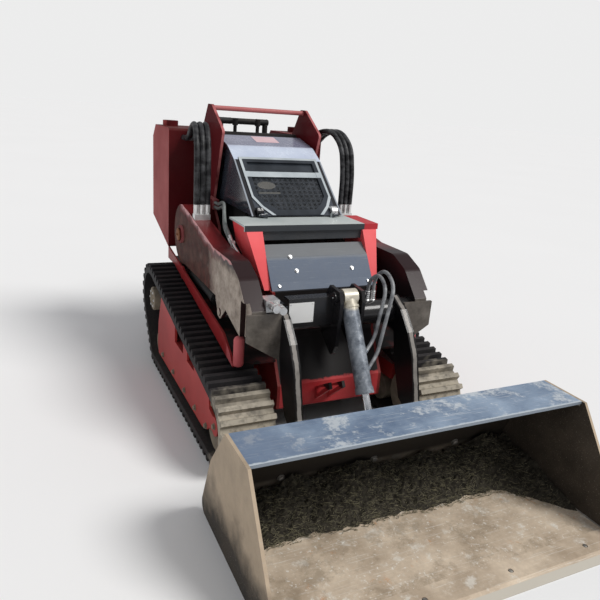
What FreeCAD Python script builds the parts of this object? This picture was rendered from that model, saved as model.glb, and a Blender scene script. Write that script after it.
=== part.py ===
import FreeCAD, Part
import math
import os
import Sketcher
from FreeCAD import Placement, Rotation, Vector

# A compact tracked utility loader: a small machine on rubber tracks that its
# driver steers from a folding platform behind it. Two lift arms pivot on the
# rear uprights, run forward over the tracks, turn down at a knee and carry a
# dirt bucket. The nose has a tilting hood with a mesh grille.
# The machine faces -Y, +Z is up and z = 0 is the ground under the tracks. Its
# left side, as its driver sees it, is +X.

# name, value in mm, degrees or pieces, what it is
SIZE_TABLE = [
    ("frame_half", 232, "chassis side plates, outer face from the middle"),
    ("frame_sheet", 12, "chassis plates"),
    ("frame_floor", 110, "height of the belly plate"),
    ("frame_deck", 452, "upper edge of the chassis sides beside the engine"),
    ("frame_shoulder", 590, "upper edge of the chassis sides ahead of the engine"),
    ("frame_nose", -345, "front end of the chassis"),
    ("nose_low", 150, "lower edge of the nose plate"),
    ("nose_high", 245, "upper edge of the nose plate"),
    ("frame_rear", 930, "rear end of the chassis"),
    ("tow_lug_sheet", 12, "tow lug on the nose plate"),
    ("tow_lug_reach", 110, "tow lug, ahead of the nose plate"),
    ("tie_down_radius", 18, "tie-down holes in the chassis sides"),
    ("tie_down_back", 34, "those holes, ahead of the rear end"),
    ("tie_down_z", 205, "height of those holes"),
    ("upright_sheet", 12, "uprights beside the hood"),
    ("crossbar_radius", 11, "bar between the uprights"),
    ("upright_peak", 1247, "top of an upright"),
    ("upright_foot", 380, "lower edge of an upright"),
    ("tower_outer", 405, "outer face of a rear tower and of the fender rail"),
    ("tower_front", 700, "front face of a tower"),
    ("tower_rear", 1050, "rear face of a tower"),
    ("tower_top", 1125, "top of a tower"),
    ("tower_foot", 552, "bottom of a tower at its front"),
    ("tank_cap_radius", 38, "caps on the towers"),
    ("fender_sheet", 8, "fender plates"),
    ("fender_front", -310, "front end of a fender"),
    ("fender_front_z", 334, "height of a fender at its front end"),
    ("fender_level", 575, "where a fender becomes level"),
    ("fender_rise", 160, "rise of a fender from its front end to there"),
    ("engine_half", 165, "engine block, half its width"),
    ("engine_front", 270, "front of the engine block"),
    ("engine_top", 800, "top of the engine block"),
    ("cooler_inset", 42, "from a side of the hood in to the cooler"),
    ("ledge_top", 818, "top of the ledge before the hood"),
    ("ledge_half", 300, "ledge, half its width"),
    ("ledge_front", -95, "front edge of the ledge"),
    ("ledge_sheet", 8, "ledge tray"),
    ("ledge_lip", 24, "ledge, depth of its front edge"),
    ("post_foot", -210, "front edge of a post at its foot"),
    ("cover_rake", 130, "front cover, from its upper to its lower end"),
    ("console_top", 1128, "top of the console"),
    ("console_rear", 930, "rear face of the console"),
    ("grip_half", 120, "grip posts, from the middle"),
    ("grip_top", 1170, "axis of the grip bar"),
    ("grip_radius", 15, "grip bar"),
    ("hood_inset", 20, "hood, inside the chassis side plates"),
    ("hood_sheet", 5, "hood walls"),
    ("hood_foot_y", 62, "foot of the sloping hood front"),
    ("hood_foot_rise", 6, "that foot, above the ledge"),
    ("hood_slope", 38.9, "slope of the hood front, in degrees"),
    ("hood_slope_length", 328, "hood front, along the slope"),
    ("hood_rear", 600, "rear edge of the hood"),
    ("hood_top", 1115, "top of the hood at its rear"),
    ("hood_hinge_y", 50, "hinge of the hood"),
    ("hood_hinge_rise", 12, "that hinge above the ledge"),
    ("hood_hinge_x", 150, "hinge lugs, from the middle"),
    ("hood_hinge_sheet", 12, "hinge lugs and ears"),
    ("hood_pin_radius", 4, "hinge pins of the hood"),
    ("grille_half", 176, "opening of the hood front, half its width"),
    ("grille_low", 16, "lower edge of that opening, along the slope"),
    ("grille_high", 322, "upper edge of that opening, along the slope"),
    ("grille_rim", 16, "rim round the grille"),
    ("grille_bar", 219, "cross bar of the grille, along the slope"),
    ("grille_bar_width", 31, "cross bar of the grille"),
    ("grille_sheet", 3, "perforated grille sheet"),
    ("grille_hole", 14, "square holes of the grille"),
    ("grille_columns", 13, "holes across the grille"),
    ("grille_rows", 8, "holes up the grille"),
    ("lift_pivot_y", 490, "arms' pivot on the uprights"),
    ("lift_pivot_z", 660, "height of the arms' pivot"),
    ("lift_pin_radius", 25, "arms' pivot pins"),
    ("arm_boss_radius", 138, "round rear end of an arm"),
    ("arm_top", 712, "upper edge of an arm at its middle"),
    ("arm_gap", 74, "between an upright and the arm beside it"),
    ("arm_thickness", 74, "arm, side to side"),
    ("arm_front", -395, "front face of an arm"),
    ("arm_notch", 60, "open front corner of an arm's outer side"),
    ("arm_sheet", 12, "plate that joins an arm to its blade"),
    ("blade_step", 56, "from an arm's inner face in to its blade"),
    ("blade_thickness", 30, "blade, side to side"),
    ("torque_tube_radius", 48, "tube across the arms"),
    ("torque_tube_y", -345, "axis of that tube"),
    ("torque_tube_z", 520, "axis of that tube"),
    ("lift_base_y", 430, "lift cylinder's pin on the chassis"),
    ("lift_base_z", 492, "height of that pin"),
    ("lift_base_pin_radius", 14, "that pin"),
    ("lift_eye_y", -100, "lift rod's eye under the arm"),
    ("lift_eye_z", 478, "height of that eye"),
    ("lift_barrel_radius", 24, "lift cylinder barrel"),
    ("lift_rod_radius", 13, "lift cylinder rod"),
    ("tilt_pivot_y", -648, "pin between blades and bucket"),
    ("tilt_pivot_z", 92, "height of that pin"),
    ("tilt_pin_radius", 14, "that pin"),
    ("tilt_base_y", -410, "tilt cylinder's pin on the arms"),
    ("tilt_base_z", 612, "height of that pin"),
    ("tilt_base_pin_radius", 16, "that pin"),
    ("lift_eye_half", 20, "lift rods' eyes, half their width"),
    ("tilt_eye_half", 29, "tilt rod's eye, half its width"),
    ("tilt_eye_y", -667, "tilt rod's eye on the bucket"),
    ("tilt_eye_z", 183, "height of that eye"),
    ("tilt_barrel_radius", 31, "tilt cylinder barrel"),
    ("tilt_rod_radius", 15, "tilt cylinder rod"),
    ("tilt_bracket_sheet", 14, "brackets of the tilt cylinder"),
    ("rod_eye_radius", 24, "eyes at the ends of the rods"),
    ("gland_lip", 3, "cylinder glands, proud of their barrels"),
    ("track_gap", 78, "between the chassis and a track"),
    ("belt_width", 205, "rubber belt"),
    ("belt_sheet", 26, "belt without its lugs"),
    ("lug_height", 20, "lugs of the belt"),
    ("lug_count", 70, "lugs round a belt"),
    ("idler_y", -398, "front idler"),
    ("idler_reach", 150, "ground to idler axle, belt and lugs included"),
    ("rear_roller_y", 545, "last roller on the ground"),
    ("rear_roller_reach", 100, "ground to that roller's axle"),
    ("roller_radius", 62, "rollers between idler and last roller"),
    ("sprocket_y", 620, "drive sprocket"),
    ("sprocket_z", 310, "height of the sprocket"),
    ("sprocket_reach", 175, "sprocket axle to the lugs' tips"),
    ("sprocket_teeth", 13, "teeth of a sprocket"),
    ("sprocket_tooth", 15, "height of those teeth"),
    ("sprocket_width", 44, "sprocket ring, side to side"),
    ("hub_radius", 58, "hub of a sprocket"),
    ("axle_tube_radius", 38, "tubes that carry a track frame"),
    ("track_frame_inset", 18, "track frame and wheels, inside a belt's edges"),
    ("track_frame_sheet", 10, "outer plate of a track frame"),
    ("wheel_gap", 0.3, "between wheels and belt"),
    ("hose_radius", 12, "hydraulic hoses"),
    ("hose_pitch", 25, "from hose to hose in a bundle"),
    ("fitting_y", 300, "hose fittings on the arms"),
    ("fitting_shelf", 790, "top of the block under the hose fittings"),
    ("fitting_top", 832, "top of those fittings"),
    ("aux_hose_radius", 7, "hoses and end fittings of the front couplers' lines"),
    ("aux_tube_radius", 5, "steel tubes of the front couplers' lines"),
    ("coupler_radius", 13, "front couplers"),
    ("tilt_hose_radius", 7, "hoses of the tilt cylinder"),
    ("bucket_width", 1220, "bucket over its side plates"),
    ("bucket_depth", 658, "from the back wall's foot to the cutting edge"),
    ("bucket_height", 388, "top of the bucket lip"),
    ("bucket_sheet", 8, "floor and back wall"),
    ("bucket_side", 10, "side plates"),
    ("heel_set", 3, "back wall's foot behind the tilt pin"),
    ("heel_lap", 22, "side plates, past the back wall"),
    ("heel_round", 35, "round heel of the bucket"),
    ("knee_set", 93, "back wall's knee, ahead of its foot"),
    ("knee_height", 228, "height of that knee"),
    ("knee_round", 120, "round of that knee"),
    ("lip_set", 122, "rear edge of the lip, ahead of the side plates' knee"),
    ("lip_depth", 170, "top lip, front to back"),
    ("lip_sheet", 10, "top lip"),
    ("edge_width", 110, "cutting edge, front to back"),
    ("edge_sheet", 14, "cutting edge"),
    ("edge_bevel", 36, "bevel of the cutting edge"),
    ("edge_hole_radius", 8.5, "bolt holes of the cutting edge"),
    ("edge_hole_set", 68, "those holes, behind the edge"),
    ("edge_hole_pitch", 310, "from bolt hole to bolt hole"),
    ("mount_sheet", 14, "coupling plate and ears on the bucket's back"),
    ("platform_hinge_y", 948, "hinge of the operator's platform"),
    ("platform_hinge_z", 190, "height of that hinge"),
    ("platform_length", 355, "hinge to the rear edge of the platform"),
    ("platform_gap", 8, "from a frame side out to a side plate of the platform"),
    ("platform_sheet", 8, "side plates of the platform"),
    ("platform_pin_radius", 8, "hinge pins of the platform"),
    ("pin_gap", 0.3, "clearance of a turning pin"),
    ("eye_gap", 4, "clearance on each side of a rod's eye"),
    ("side_gap", 2.3, "clearance on each side of a blade's foot"),
    ("head_sheet", 10, "heads on the ends of pins"),
]

doc = FreeCAD.newDocument("compact_tracked_loader")
sheet = doc.addObject("Spreadsheet::Sheet", "Sizes")


class Length:
    """A number together with the sheet formula that gives it."""

    def __init__(self, value, text):
        self.value = value
        self.text = text

    def combine(self, other, sign, value):
        other = as_length(other)
        return Length(value, "(%s %s %s)" % (self.text, sign, other.text))

    def __add__(self, other):
        return self.combine(other, "+", self.value + as_length(other).value)

    def __radd__(self, other):
        return as_length(other) + self

    def __sub__(self, other):
        return self.combine(other, "-", self.value - as_length(other).value)

    def __rsub__(self, other):
        return as_length(other) - self

    def __mul__(self, other):
        return self.combine(other, "*", self.value * as_length(other).value)

    def __rmul__(self, other):
        return as_length(other) * self

    def __truediv__(self, other):
        return self.combine(other, "/", self.value / as_length(other).value)

    def __neg__(self):
        return as_length(0) - self


def as_length(number):
    if isinstance(number, Length):
        return number
    return Length(float(number), repr(float(number)))


def fill_sheet():
    lengths = {}
    for row, (name, value, note) in enumerate(SIZE_TABLE, start=1):
        sheet.set("A%d" % row, name)
        sheet.set("B%d" % row, str(value))
        sheet.set("C%d" % row, note)
        sheet.setAlias("B%d" % row, name)
        lengths[name] = Length(float(value), "Sizes.%s" % name)
    doc.recompute()
    return lengths


L = fill_sheet()
NODES = []


# Helpers that bind a piece's sizes to the sheet

def bind(obj, prop, length):
    length = as_length(length)
    obj.setExpression(prop, length.text)


def finish(label, obj):
    """Name a finished sub-part, which is then one file."""
    obj.Label = label
    NODES.append(obj)
    return obj


def spare(name):
    """A free internal name for a helper feature."""
    return "f_%s" % name


def box(name, x, y, z):
    obj = doc.addObject("Part::Box", spare(name))
    for prop, (low, high) in zip(("Length", "Width", "Height"), (x, y, z)):
        bind(obj, prop, as_length(high) - low)
    for axis, (low, high) in zip("xyz", (x, y, z)):
        bind(obj, "Placement.Base.%s" % axis, low)
    return obj


TURNS = {
    "x": Rotation(Vector(0, 1, 0), 90),
    "y": Rotation(Vector(1, 0, 0), -90),
    "z": Rotation(),
}


def rod(name, axis, start, end, centre, radius):
    """A round bar along x, y or z. centre holds the other two places in order."""
    obj = doc.addObject("Part::Cylinder", spare(name))
    obj.Placement = Placement(Vector(), TURNS[axis])
    bind(obj, "Radius", radius)
    bind(obj, "Height", as_length(end) - start)
    places = list(centre)
    places.insert("xyz".index(axis), start)
    for letter, place in zip("xyz", places):
        bind(obj, "Placement.Base.%s" % letter, place)
    return obj


def fuse(name, shapes):
    obj = doc.addObject("Part::MultiFuse", spare(name))
    obj.Shapes = list(shapes)
    return obj


def cut(name, base, tool):
    obj = doc.addObject("Part::Cut", spare(name))
    obj.Base = base
    obj.Tool = tool
    return obj


def common(name, first, second):
    obj = doc.addObject("Part::MultiCommon", spare(name))
    obj.Shapes = [first, second]
    return obj


PLANES = {"x": "YZ_Plane", "y": "XZ_Plane", "z": "XY_Plane"}
PLANE_SIGN = {"x": 1, "y": -1, "z": 1}


def new_sketch(body, name, axis, start):
    plane = [f for f in body.Origin.OriginFeatures if f.Role == PLANES[axis]][0]
    sketch = body.newObject("Sketcher::SketchObject", name)
    sketch.AttachmentSupport = [(plane, "")]
    sketch.MapMode = "FlatFace"
    bind(sketch, "AttachmentOffset.Base.z", as_length(start) * PLANE_SIGN[axis])
    return sketch


def fix_point(sketch, geometry, point, place):
    for kind, length in zip(("DistanceX", "DistanceY"), place):
        length = as_length(length)
        rule = Sketcher.Constraint(kind, -1, 1, geometry, point, length.value)
        index = sketch.addConstraint(rule)
        sketch.setExpression("Constraints[%d]" % index, length.text)


def add_outline(sketch, outline):
    points = [tuple(as_length(c) for c in corner[:2]) for corner in outline]
    first = sketch.GeometryCount
    count = len(points)
    for number in range(count):
        begin, end = points[number], points[(number + 1) % count]
        line = Part.LineSegment(Vector(begin[0].value, begin[1].value, 0),
                                Vector(end[0].value, end[1].value, 0))
        sketch.addGeometry(line, False)
    for number in range(count):
        after = first + (number + 1) % count
        sketch.addConstraint(Sketcher.Constraint("Coincident", first + number, 2, after, 1))
    for number, place in enumerate(points):
        fix_point(sketch, first + number, 1, place)


def add_circle(sketch, centre, radius):
    centre = [as_length(c) for c in centre]
    radius = as_length(radius)
    ring = Part.Circle(Vector(centre[0].value, centre[1].value, 0), Vector(0, 0, 1), radius.value)
    number = sketch.addGeometry(ring, False)
    fix_point(sketch, number, 3, centre)
    index = sketch.addConstraint(Sketcher.Constraint("Radius", number, radius.value))
    sketch.setExpression("Constraints[%d]" % index, radius.text)


def pad(body, name, axis, span, outlines=(), circles=(), remove=False):
    """One pad or pocket between the two places in span, along the axis."""
    low, high = span
    start = low if PLANE_SIGN[axis] > 0 else high
    sketch = new_sketch(body, spare(name) + "_sketch", axis, start)
    for outline in outlines:
        add_outline(sketch, outline)
    for centre, radius in circles:
        add_circle(sketch, centre, radius)
    kind = "PartDesign::Pocket" if remove else "PartDesign::Pad"
    feature = body.newObject(kind, spare(name))
    feature.Profile = sketch
    bind(feature, "Length", as_length(high) - low)
    feature.Reversed = remove
    doc.recompute()
    return feature


def round_corners(body, feature, axis, corners):
    """Fillet the edges along the axis that stand at the listed corners."""
    keep = {"x": (1, 2), "y": (0, 2), "z": (0, 1)}[axis]
    for number, (first, second, radius) in enumerate(corners):
        edges = []
        for index, edge in enumerate(feature.Shape.Edges, start=1):
            if len(edge.Vertexes) < 2:
                continue
            ends = [v.Point for v in edge.Vertexes]
            flat = [(p[keep[0]], p[keep[1]]) for p in ends]
            wanted = (as_length(first).value, as_length(second).value)
            if all(math.dist(place, wanted) < 0.01 for place in flat):
                edges.append("Edge%d" % index)
        fillet = body.newObject("PartDesign::Fillet", "%s_round%d" % (feature.Name, number))
        fillet.Base = (feature, edges)
        bind(fillet, "Radius", radius)
        doc.recompute()
        feature = fillet
    return feature


def plate(name, axis, span, outline, rounds=(), discs=(), holes=(), windows=()):
    """A body from one outline, with round ends, bores and windows."""
    body = doc.addObject("PartDesign::Body", spare(name) + "_body")
    feature = pad(body, name, axis, span, outlines=[outline])
    feature = round_corners(body, feature, axis, rounds)
    for number, (centre, radius) in enumerate(discs):
        feature = pad(body, "%s_disc%d" % (name, number), axis, span, circles=[(centre, radius)])
    if holes or windows:
        before = feature.Shape.Volume
        feature = pad(body, "%s_cuts" % name, axis, span, outlines=windows, circles=holes, remove=True)
        if feature.Shape.Volume >= before:
            raise ValueError("cuts of %s remove nothing" % name)
    return body


def across(side, inner, outer):
    """The x span of a piece on one side of the machine."""
    if side > 0:
        return (as_length(inner), as_length(outer))
    return (-as_length(outer), -as_length(inner))

def cosine(angle):
    return Length(math.cos(math.radians(angle.value)), "cos(%s * 1 deg)" % angle.text)


def sine(angle):
    return Length(math.sin(math.radians(angle.value)), "sin(%s * 1 deg)" % angle.text)


def tube_along(name, points, radius):
    """A round tube along straight runs, joined by arcs as large as the runs allow."""
    route = [Vector(*p) for p in points]
    edges = []
    bends = []
    here = route[0]
    for number in range(1, len(route) - 1):
        corner = route[number]
        back = route[number - 1] - corner
        ahead = route[number + 1] - corner
        half = back.getAngle(ahead) / 2
        reach = 0.45 * min(back.Length, ahead.Length)
        bend = reach * math.tan(half)
        bends.append(bend)
        back.normalize()
        ahead.normalize()
        begin = corner + back * reach
        end = corner + ahead * reach
        inward = (back + ahead).normalize()
        middle = corner + inward * (bend / math.sin(half) - bend)
        edges.append(Part.LineSegment(here, begin).toShape())
        edges.append(Part.Arc(begin, middle, end).toShape())
        here = end
    edges.append(Part.LineSegment(here, route[-1]).toShape())
    path = Part.Wire(edges)
    direction = (route[1] - route[0]).normalize()
    ring = Part.Wire(Part.Circle(route[0], direction, radius).toShape())
    tube = path.makePipeShell([ring], True, False)
    ideal = math.pi * radius * radius * path.Length
    if abs(tube.Volume - ideal) > 0.01 * ideal:
        raise ValueError("%s has the wrong volume" % name)
    print(name, "length", round(path.Length), "mm, tightest bend", round(min(bends)), "mm")
    return tube


def feature(label, shape, place=None):
    """A sub-part whose shape is worked out point by point."""
    obj = doc.addObject("Part::Feature", label)
    obj.Shape = shape
    obj.Placement = place if place else Placement()
    return finish(label, obj)


SIDES = ((1, "left"), (-1, "right"))

# Places that several pieces share

ARM_INNER = L["frame_half"] + L["upright_sheet"] + L["arm_gap"]
ARM_OUTER = ARM_INNER + L["arm_thickness"]
ARM_MIDDLE = ARM_INNER + L["arm_thickness"] / 2
BLADE_OUTER = ARM_INNER - L["blade_step"]
BLADE_INNER = BLADE_OUTER - L["blade_thickness"]
TRACK_INNER = L["frame_half"] + L["track_gap"]
TRACK_OUTER = TRACK_INNER + L["belt_width"]
PIVOT = (L["lift_pivot_y"], L["lift_pivot_z"])
LIFT_BASE = (L["lift_base_y"], L["lift_base_z"])
LIFT_EYE = (L["lift_eye_y"], L["lift_eye_z"])
TILT_PIVOT = (L["tilt_pivot_y"], L["tilt_pivot_z"])
TILT_BASE = (L["tilt_base_y"], L["tilt_base_z"])
TILT_EYE = (L["tilt_eye_y"], L["tilt_eye_z"])
HOOD_HALF = L["frame_half"] - L["hood_inset"]
COOLER_HALF = HOOD_HALF - L["cooler_inset"]
PLATFORM_HALF = L["frame_half"] + L["platform_gap"]
HOOD_FOOT = (L["hood_foot_y"], L["ledge_top"] + L["hood_foot_rise"])
HOOD_HINGE = (L["hood_hinge_y"], L["ledge_top"] + L["hood_hinge_rise"])
HOOD_LIP = (HOOD_FOOT[0] + L["hood_slope_length"] * cosine(L["hood_slope"]),
            HOOD_FOOT[1] + L["hood_slope_length"] * sine(L["hood_slope"]))


def fender_height(y):
    """Height of the fender's underside."""
    run = L["fender_level"] - L["fender_front"]
    return L["fender_front_z"] + L["fender_rise"] * (as_length(y) - L["fender_front"]) / run




# Chassis

def make_main_frame():
    half = L["frame_half"]
    skin = L["frame_sheet"]
    floor = L["frame_floor"]
    nose = L["frame_nose"]
    rear = L["frame_rear"]
    deck = L["frame_deck"]
    low = L["nose_low"]
    high = L["nose_high"]
    shoulder = L["frame_shoulder"]
    inner = half - skin
    bend = (nose + 95, high + 165)
    wall_top = (nose + 105, shoulder)
    outline = [
        (nose + 90, floor), (nose, low), (nose, high), bend, wall_top, (60, shoulder),
        (90, deck), (rear, deck), (rear, floor + 50), (rear - 60, floor),
    ]
    tie_down = ((rear - L["tie_down_back"], L["tie_down_z"]), L["tie_down_radius"])
    shapes = [plate("frame_side_%s" % name, "x", across(side, inner, half), outline, holes=[tie_down])
              for side, name in SIDES]
    hinge = (L["platform_hinge_y"], L["platform_hinge_z"])
    for side, name in SIDES:
        lug = [(rear - skin, hinge[1] - 16), hinge, (rear - skin, hinge[1] + 16)]
        shapes.append(plate("platform_lug_%s" % name, "x", across(side, inner - 2, half - 2), lug,
                            discs=[(hinge, 14)]))
        span = across(side, inner, PLATFORM_HALF + 12)
        shapes.append(rod("platform_pin_%s" % name, "x", span[0], span[1], hinge, L["platform_pin_radius"]))
    width = (-inner, inner)
    belly = [
        (nose, high), (nose, low), (nose + 90, floor), (rear - 60, floor),
        (rear - 60, floor + skin), (nose + 92, floor + skin), (nose + skin, low + 4), (nose + skin, high),
    ]
    shapes.append(box("rear_plate", width, (rear - skin, rear), (floor + 50, deck)))
    finish("main_frame", fuse("main_frame", shapes))
    wall = [(nose, high), bend, wall_top, (wall_top[0] + skin, shoulder), (bend[0] + skin, bend[1] - 2),
            (nose + skin, high)]
    shapes = [plate("belly", "x", width, belly), plate("front_wall", "x", width, wall)]
    lug = [(nose + 1, high - 20), (nose - L["tow_lug_reach"] + 14, high + 40), (nose - L["tow_lug_reach"], high + 20),
           (nose + 1, low + 20)]
    window = [(nose - 14, high - 18), (nose - L["tow_lug_reach"] + 30, high + 14), (nose - 14, low + 50)]
    for number, low_x in enumerate((-66, -10)):
        shapes.append(plate("tow_lug%d" % number, "x", (low_x, low_x + L["tow_lug_sheet"]), lug,
                            windows=[window]))
    finish("belly_and_nose", fuse("belly_and_nose", shapes))


def make_fender(side, name, upright):
    """The plate over a track, with the two walls that hold the lift cylinder's pin."""
    half = L["frame_half"]
    outer = L["tower_outer"]
    skin = L["fender_sheet"]
    front = L["fender_front"]
    rear = L["tower_front"]
    y = L["lift_base_y"]
    z = L["lift_base_z"]
    pin_radius = L["lift_base_pin_radius"]
    line = [(front, fender_height(front)), (L["fender_level"], fender_height(L["fender_level"])),
            (rear, fender_height(L["fender_level"]))]
    floor = line + [(place, height + skin) for place, height in reversed(line)]
    bottom = plate("fender_floor_%s" % name, "x", across(side, half, outer), floor)
    slot = box("fender_slot_%s" % name, across(side, ARM_INNER + 4, ARM_OUTER - 4), (y - 85, y + 50), (z - 60, z))
    skirt = line + [(rear, L["tower_foot"]), (front + 120, fender_height(front + 120) + 68),
                    (front + 30, fender_height(front) + 38)]
    wall = plate("fender_wall_%s" % name, "x", across(side, outer - skin, outer), skirt,
                 discs=[((y, z), pin_radius + 16)])
    foot = skin - 2
    ear_outline = [(y - 95, fender_height(y - 95) + foot), (y + 60, fender_height(y + 60) + foot),
                   (y + 26, z + 14), (y - 26, z + 14)]
    ear = plate("fender_ear_%s" % name, "x", across(side, ARM_INNER - 18, ARM_INNER - 6), ear_outline,
                discs=[((y, z), pin_radius + 16)])
    pin_span = across(side, ARM_INNER - 18, outer)
    pin = rod("lift_base_pin_%s" % name, "x", pin_span[0], pin_span[1], (y, z), pin_radius)
    shell = cut("fender_open_%s" % name, bottom, slot)
    whole = fuse("fender_set_%s" % name, [shell, wall, ear, pin])
    finish("fender_%s" % name, cut("fender_%s" % name, whole, upright))


def make_upright(side, name):
    half = L["frame_half"]
    face = half + L["upright_sheet"]
    front = L["tower_front"]
    rear = L["tower_rear"]
    top = L["tower_top"]
    peak = L["upright_peak"]
    foot = L["upright_foot"]
    pivot_z = L["lift_pivot_z"]
    outline = [
        (front - 290, foot), (front - 305, pivot_z + 40), (front - 200, pivot_z + 140),
        (front - 314, peak - 107), (front - 140, peak), (front - 88, peak), (front, top), (rear - 60, top),
        (rear, top - 60), (rear, L["tower_foot"] + 88), (rear - 35, L["tower_foot"] + 4),
        (rear - 145, L["tower_foot"] + 4), (rear - 145, foot),
    ]
    body = plate("upright_%s" % name, "x", across(side, half, face), outline,
                 rounds=[(front - 314, peak - 107, 16), (front - 140, peak, 20), (front - 305, pivot_z + 40, 40)])
    pin_span = across(side, half, ARM_OUTER + 14)
    pin = rod("pivot_pin_%s" % name, "x", pin_span[0], pin_span[1], PIVOT, L["lift_pin_radius"])
    collar_span = across(side, face, ARM_INNER - L["pin_gap"])
    collar = rod("pivot_collar_%s" % name, "x", collar_span[0], collar_span[1], PIVOT, L["lift_pin_radius"] + 26)
    head_span = across(side, ARM_OUTER + L["pin_gap"], ARM_OUTER + L["pin_gap"] + 12)
    head = rod("pivot_head_%s" % name, "x", head_span[0], head_span[1], PIVOT, L["lift_pin_radius"] + 16)
    shapes = [body, pin, collar, head]
    if side < 0:
        block_z = front + 122
        shapes.append(box("aux_bulkhead", across(side, face, face + 31), (front - 295, front - 170),
                          (block_z - 32, block_z + 13)))
    finish("upright_%s" % name, fuse("upright_%s" % name, shapes))
    return body


def make_crossbar():
    """The round bar between the tips of the two uprights."""
    half = L["frame_half"]
    place = (L["tower_front"] - 114, L["upright_peak"] - 15)
    finish("upright_crossbar", rod("upright_crossbar", "x", -half, half, place, L["crossbar_radius"]))


def make_tower(side, name):
    inner = L["frame_half"] + L["upright_sheet"]
    front = L["tower_front"]
    rear = L["tower_rear"]
    top = L["tower_top"]
    foot = L["tower_foot"]
    outline = [(front, foot), (front, top), (rear - 60, top), (rear, top - 60), (rear, foot + 100)]
    body = plate("tower_%s" % name, "x", across(side, inner, L["tower_outer"]), outline,
                 rounds=[(front, top, 14)])
    middle = side * (L["tower_outer"] - 60)
    cap = rod("tank_cap_%s" % name, "z", top, top + 26, (middle, rear - 130), L["tank_cap_radius"])
    finish("tower_%s" % name, fuse("tower_%s" % name, [body, cap]))


def make_engine():
    half = L["engine_half"]
    front = L["engine_front"]
    base = L["frame_floor"] + L["frame_sheet"]
    block = box("engine_block", (-half, half), (front, front + 320), (base, L["engine_top"]))
    finish("engine_block", block)
    # The cooler stands along the sloping hood front, a hand's breadth behind it
    along = cosine(L["hood_slope"])
    rise = sine(L["hood_slope"])
    low = (HOOD_FOOT[0] + 46 * rise + 26, HOOD_FOOT[1] - 46 * along + 32)
    high = (low[0] + 218 * along, low[1] + 218 * rise)
    core = [(low[0], low[1] - 220), low, high, (high[0] + 60 * rise, high[1] - 60 * along),
            (low[0] + 70, low[1] - 30), (low[0] + 70, low[1] - 220)]
    shapes = [plate("cooler", "x", (-COOLER_HALF, COOLER_HALF), core)]
    for side, name in SIDES:
        shapes.append(box("cooler_arm_%s" % name, across(side, COOLER_HALF - 50, COOLER_HALF - 20), (low[0] + 69, front),
                          (low[1] - 180, low[1] - 140)))
    finish("cooler", fuse("cooler", shapes))


def make_ledge():
    front = L["ledge_front"]
    top = L["ledge_top"]
    half = L["ledge_half"]
    skin = L["ledge_sheet"]
    shapes = [box("ledge_tray", (-half, half), (front, front + 185), (top - skin, top)),
              box("ledge_lip", (-half, half), (front, front + skin), (top - L["ledge_lip"], top))]
    low = L["hood_hinge_x"]
    width = L["hood_hinge_sheet"]
    for side, name in SIDES:
        lug = [(HOOD_HINGE[0] - 8, top), (HOOD_HINGE[0] + 8, top), (HOOD_HINGE[0] + 8, HOOD_HINGE[1]),
               (HOOD_HINGE[0] - 8, HOOD_HINGE[1])]
        shapes.append(plate("hood_lug_%s" % name, "x", across(side, low, low + width), lug,
                            discs=[(HOOD_HINGE, 8)]))
        span = across(side, low, low + 34)
        shapes.append(rod("hood_pin_%s" % name, "x", span[0], span[1], HOOD_HINGE, L["hood_pin_radius"]))
    finish("hood_ledge", fuse("hood_ledge", shapes))
    half = L["frame_half"] - 6
    finish("front_crossbar", box("crossbar", (-half, half), (front + 11, front + 55),
                                 (top - L["ledge_lip"] - 38, top - L["ledge_lip"])))


def make_post(side, name):
    top = L["ledge_top"] - L["ledge_sheet"]
    notch = L["ledge_top"] - L["ledge_lip"]
    foot = L["frame_shoulder"]
    front = L["ledge_front"]
    inner = L["frame_half"] - 6
    front_view = [(side * inner, foot), (side * inner, top), (side * (L["ledge_half"] - 4), top),
                  (side * (inner + 26), foot)]
    slab = plate("post_front_%s" % name, "y", (L["post_foot"] - 20, front + 175), front_view)
    side_view = [
        (front + L["ledge_sheet"], top), (front + L["ledge_sheet"], notch), (front - 1, notch),
        (L["post_foot"], foot), (L["post_foot"] + 68, foot), (front + 155, top - 90), (front + 155, top),
    ]
    wedge = plate("post_side_%s" % name, "x", across(side, inner - 1, L["ledge_half"]), side_view)
    finish("front_post_%s" % name, common("front_post_%s" % name, slab, wedge))


def make_front_cover():
    """The raked cover between the posts, bent three times."""
    front = L["ledge_front"]
    top = L["ledge_top"]
    shoulder = L["frame_shoulder"]
    rake = L["cover_rake"]
    steps = [(front - 1, top - 76), (front - 55, top - 118), (front + 20 - rake, shoulder + 28),
             (front - 1 - rake, shoulder)]
    back = [(front + 15 - rake, shoulder), (front + 11, top - 88)]
    half = L["frame_half"] - 6
    finish("front_cover", plate("front_cover", "x", (-half, half), steps + back))


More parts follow.
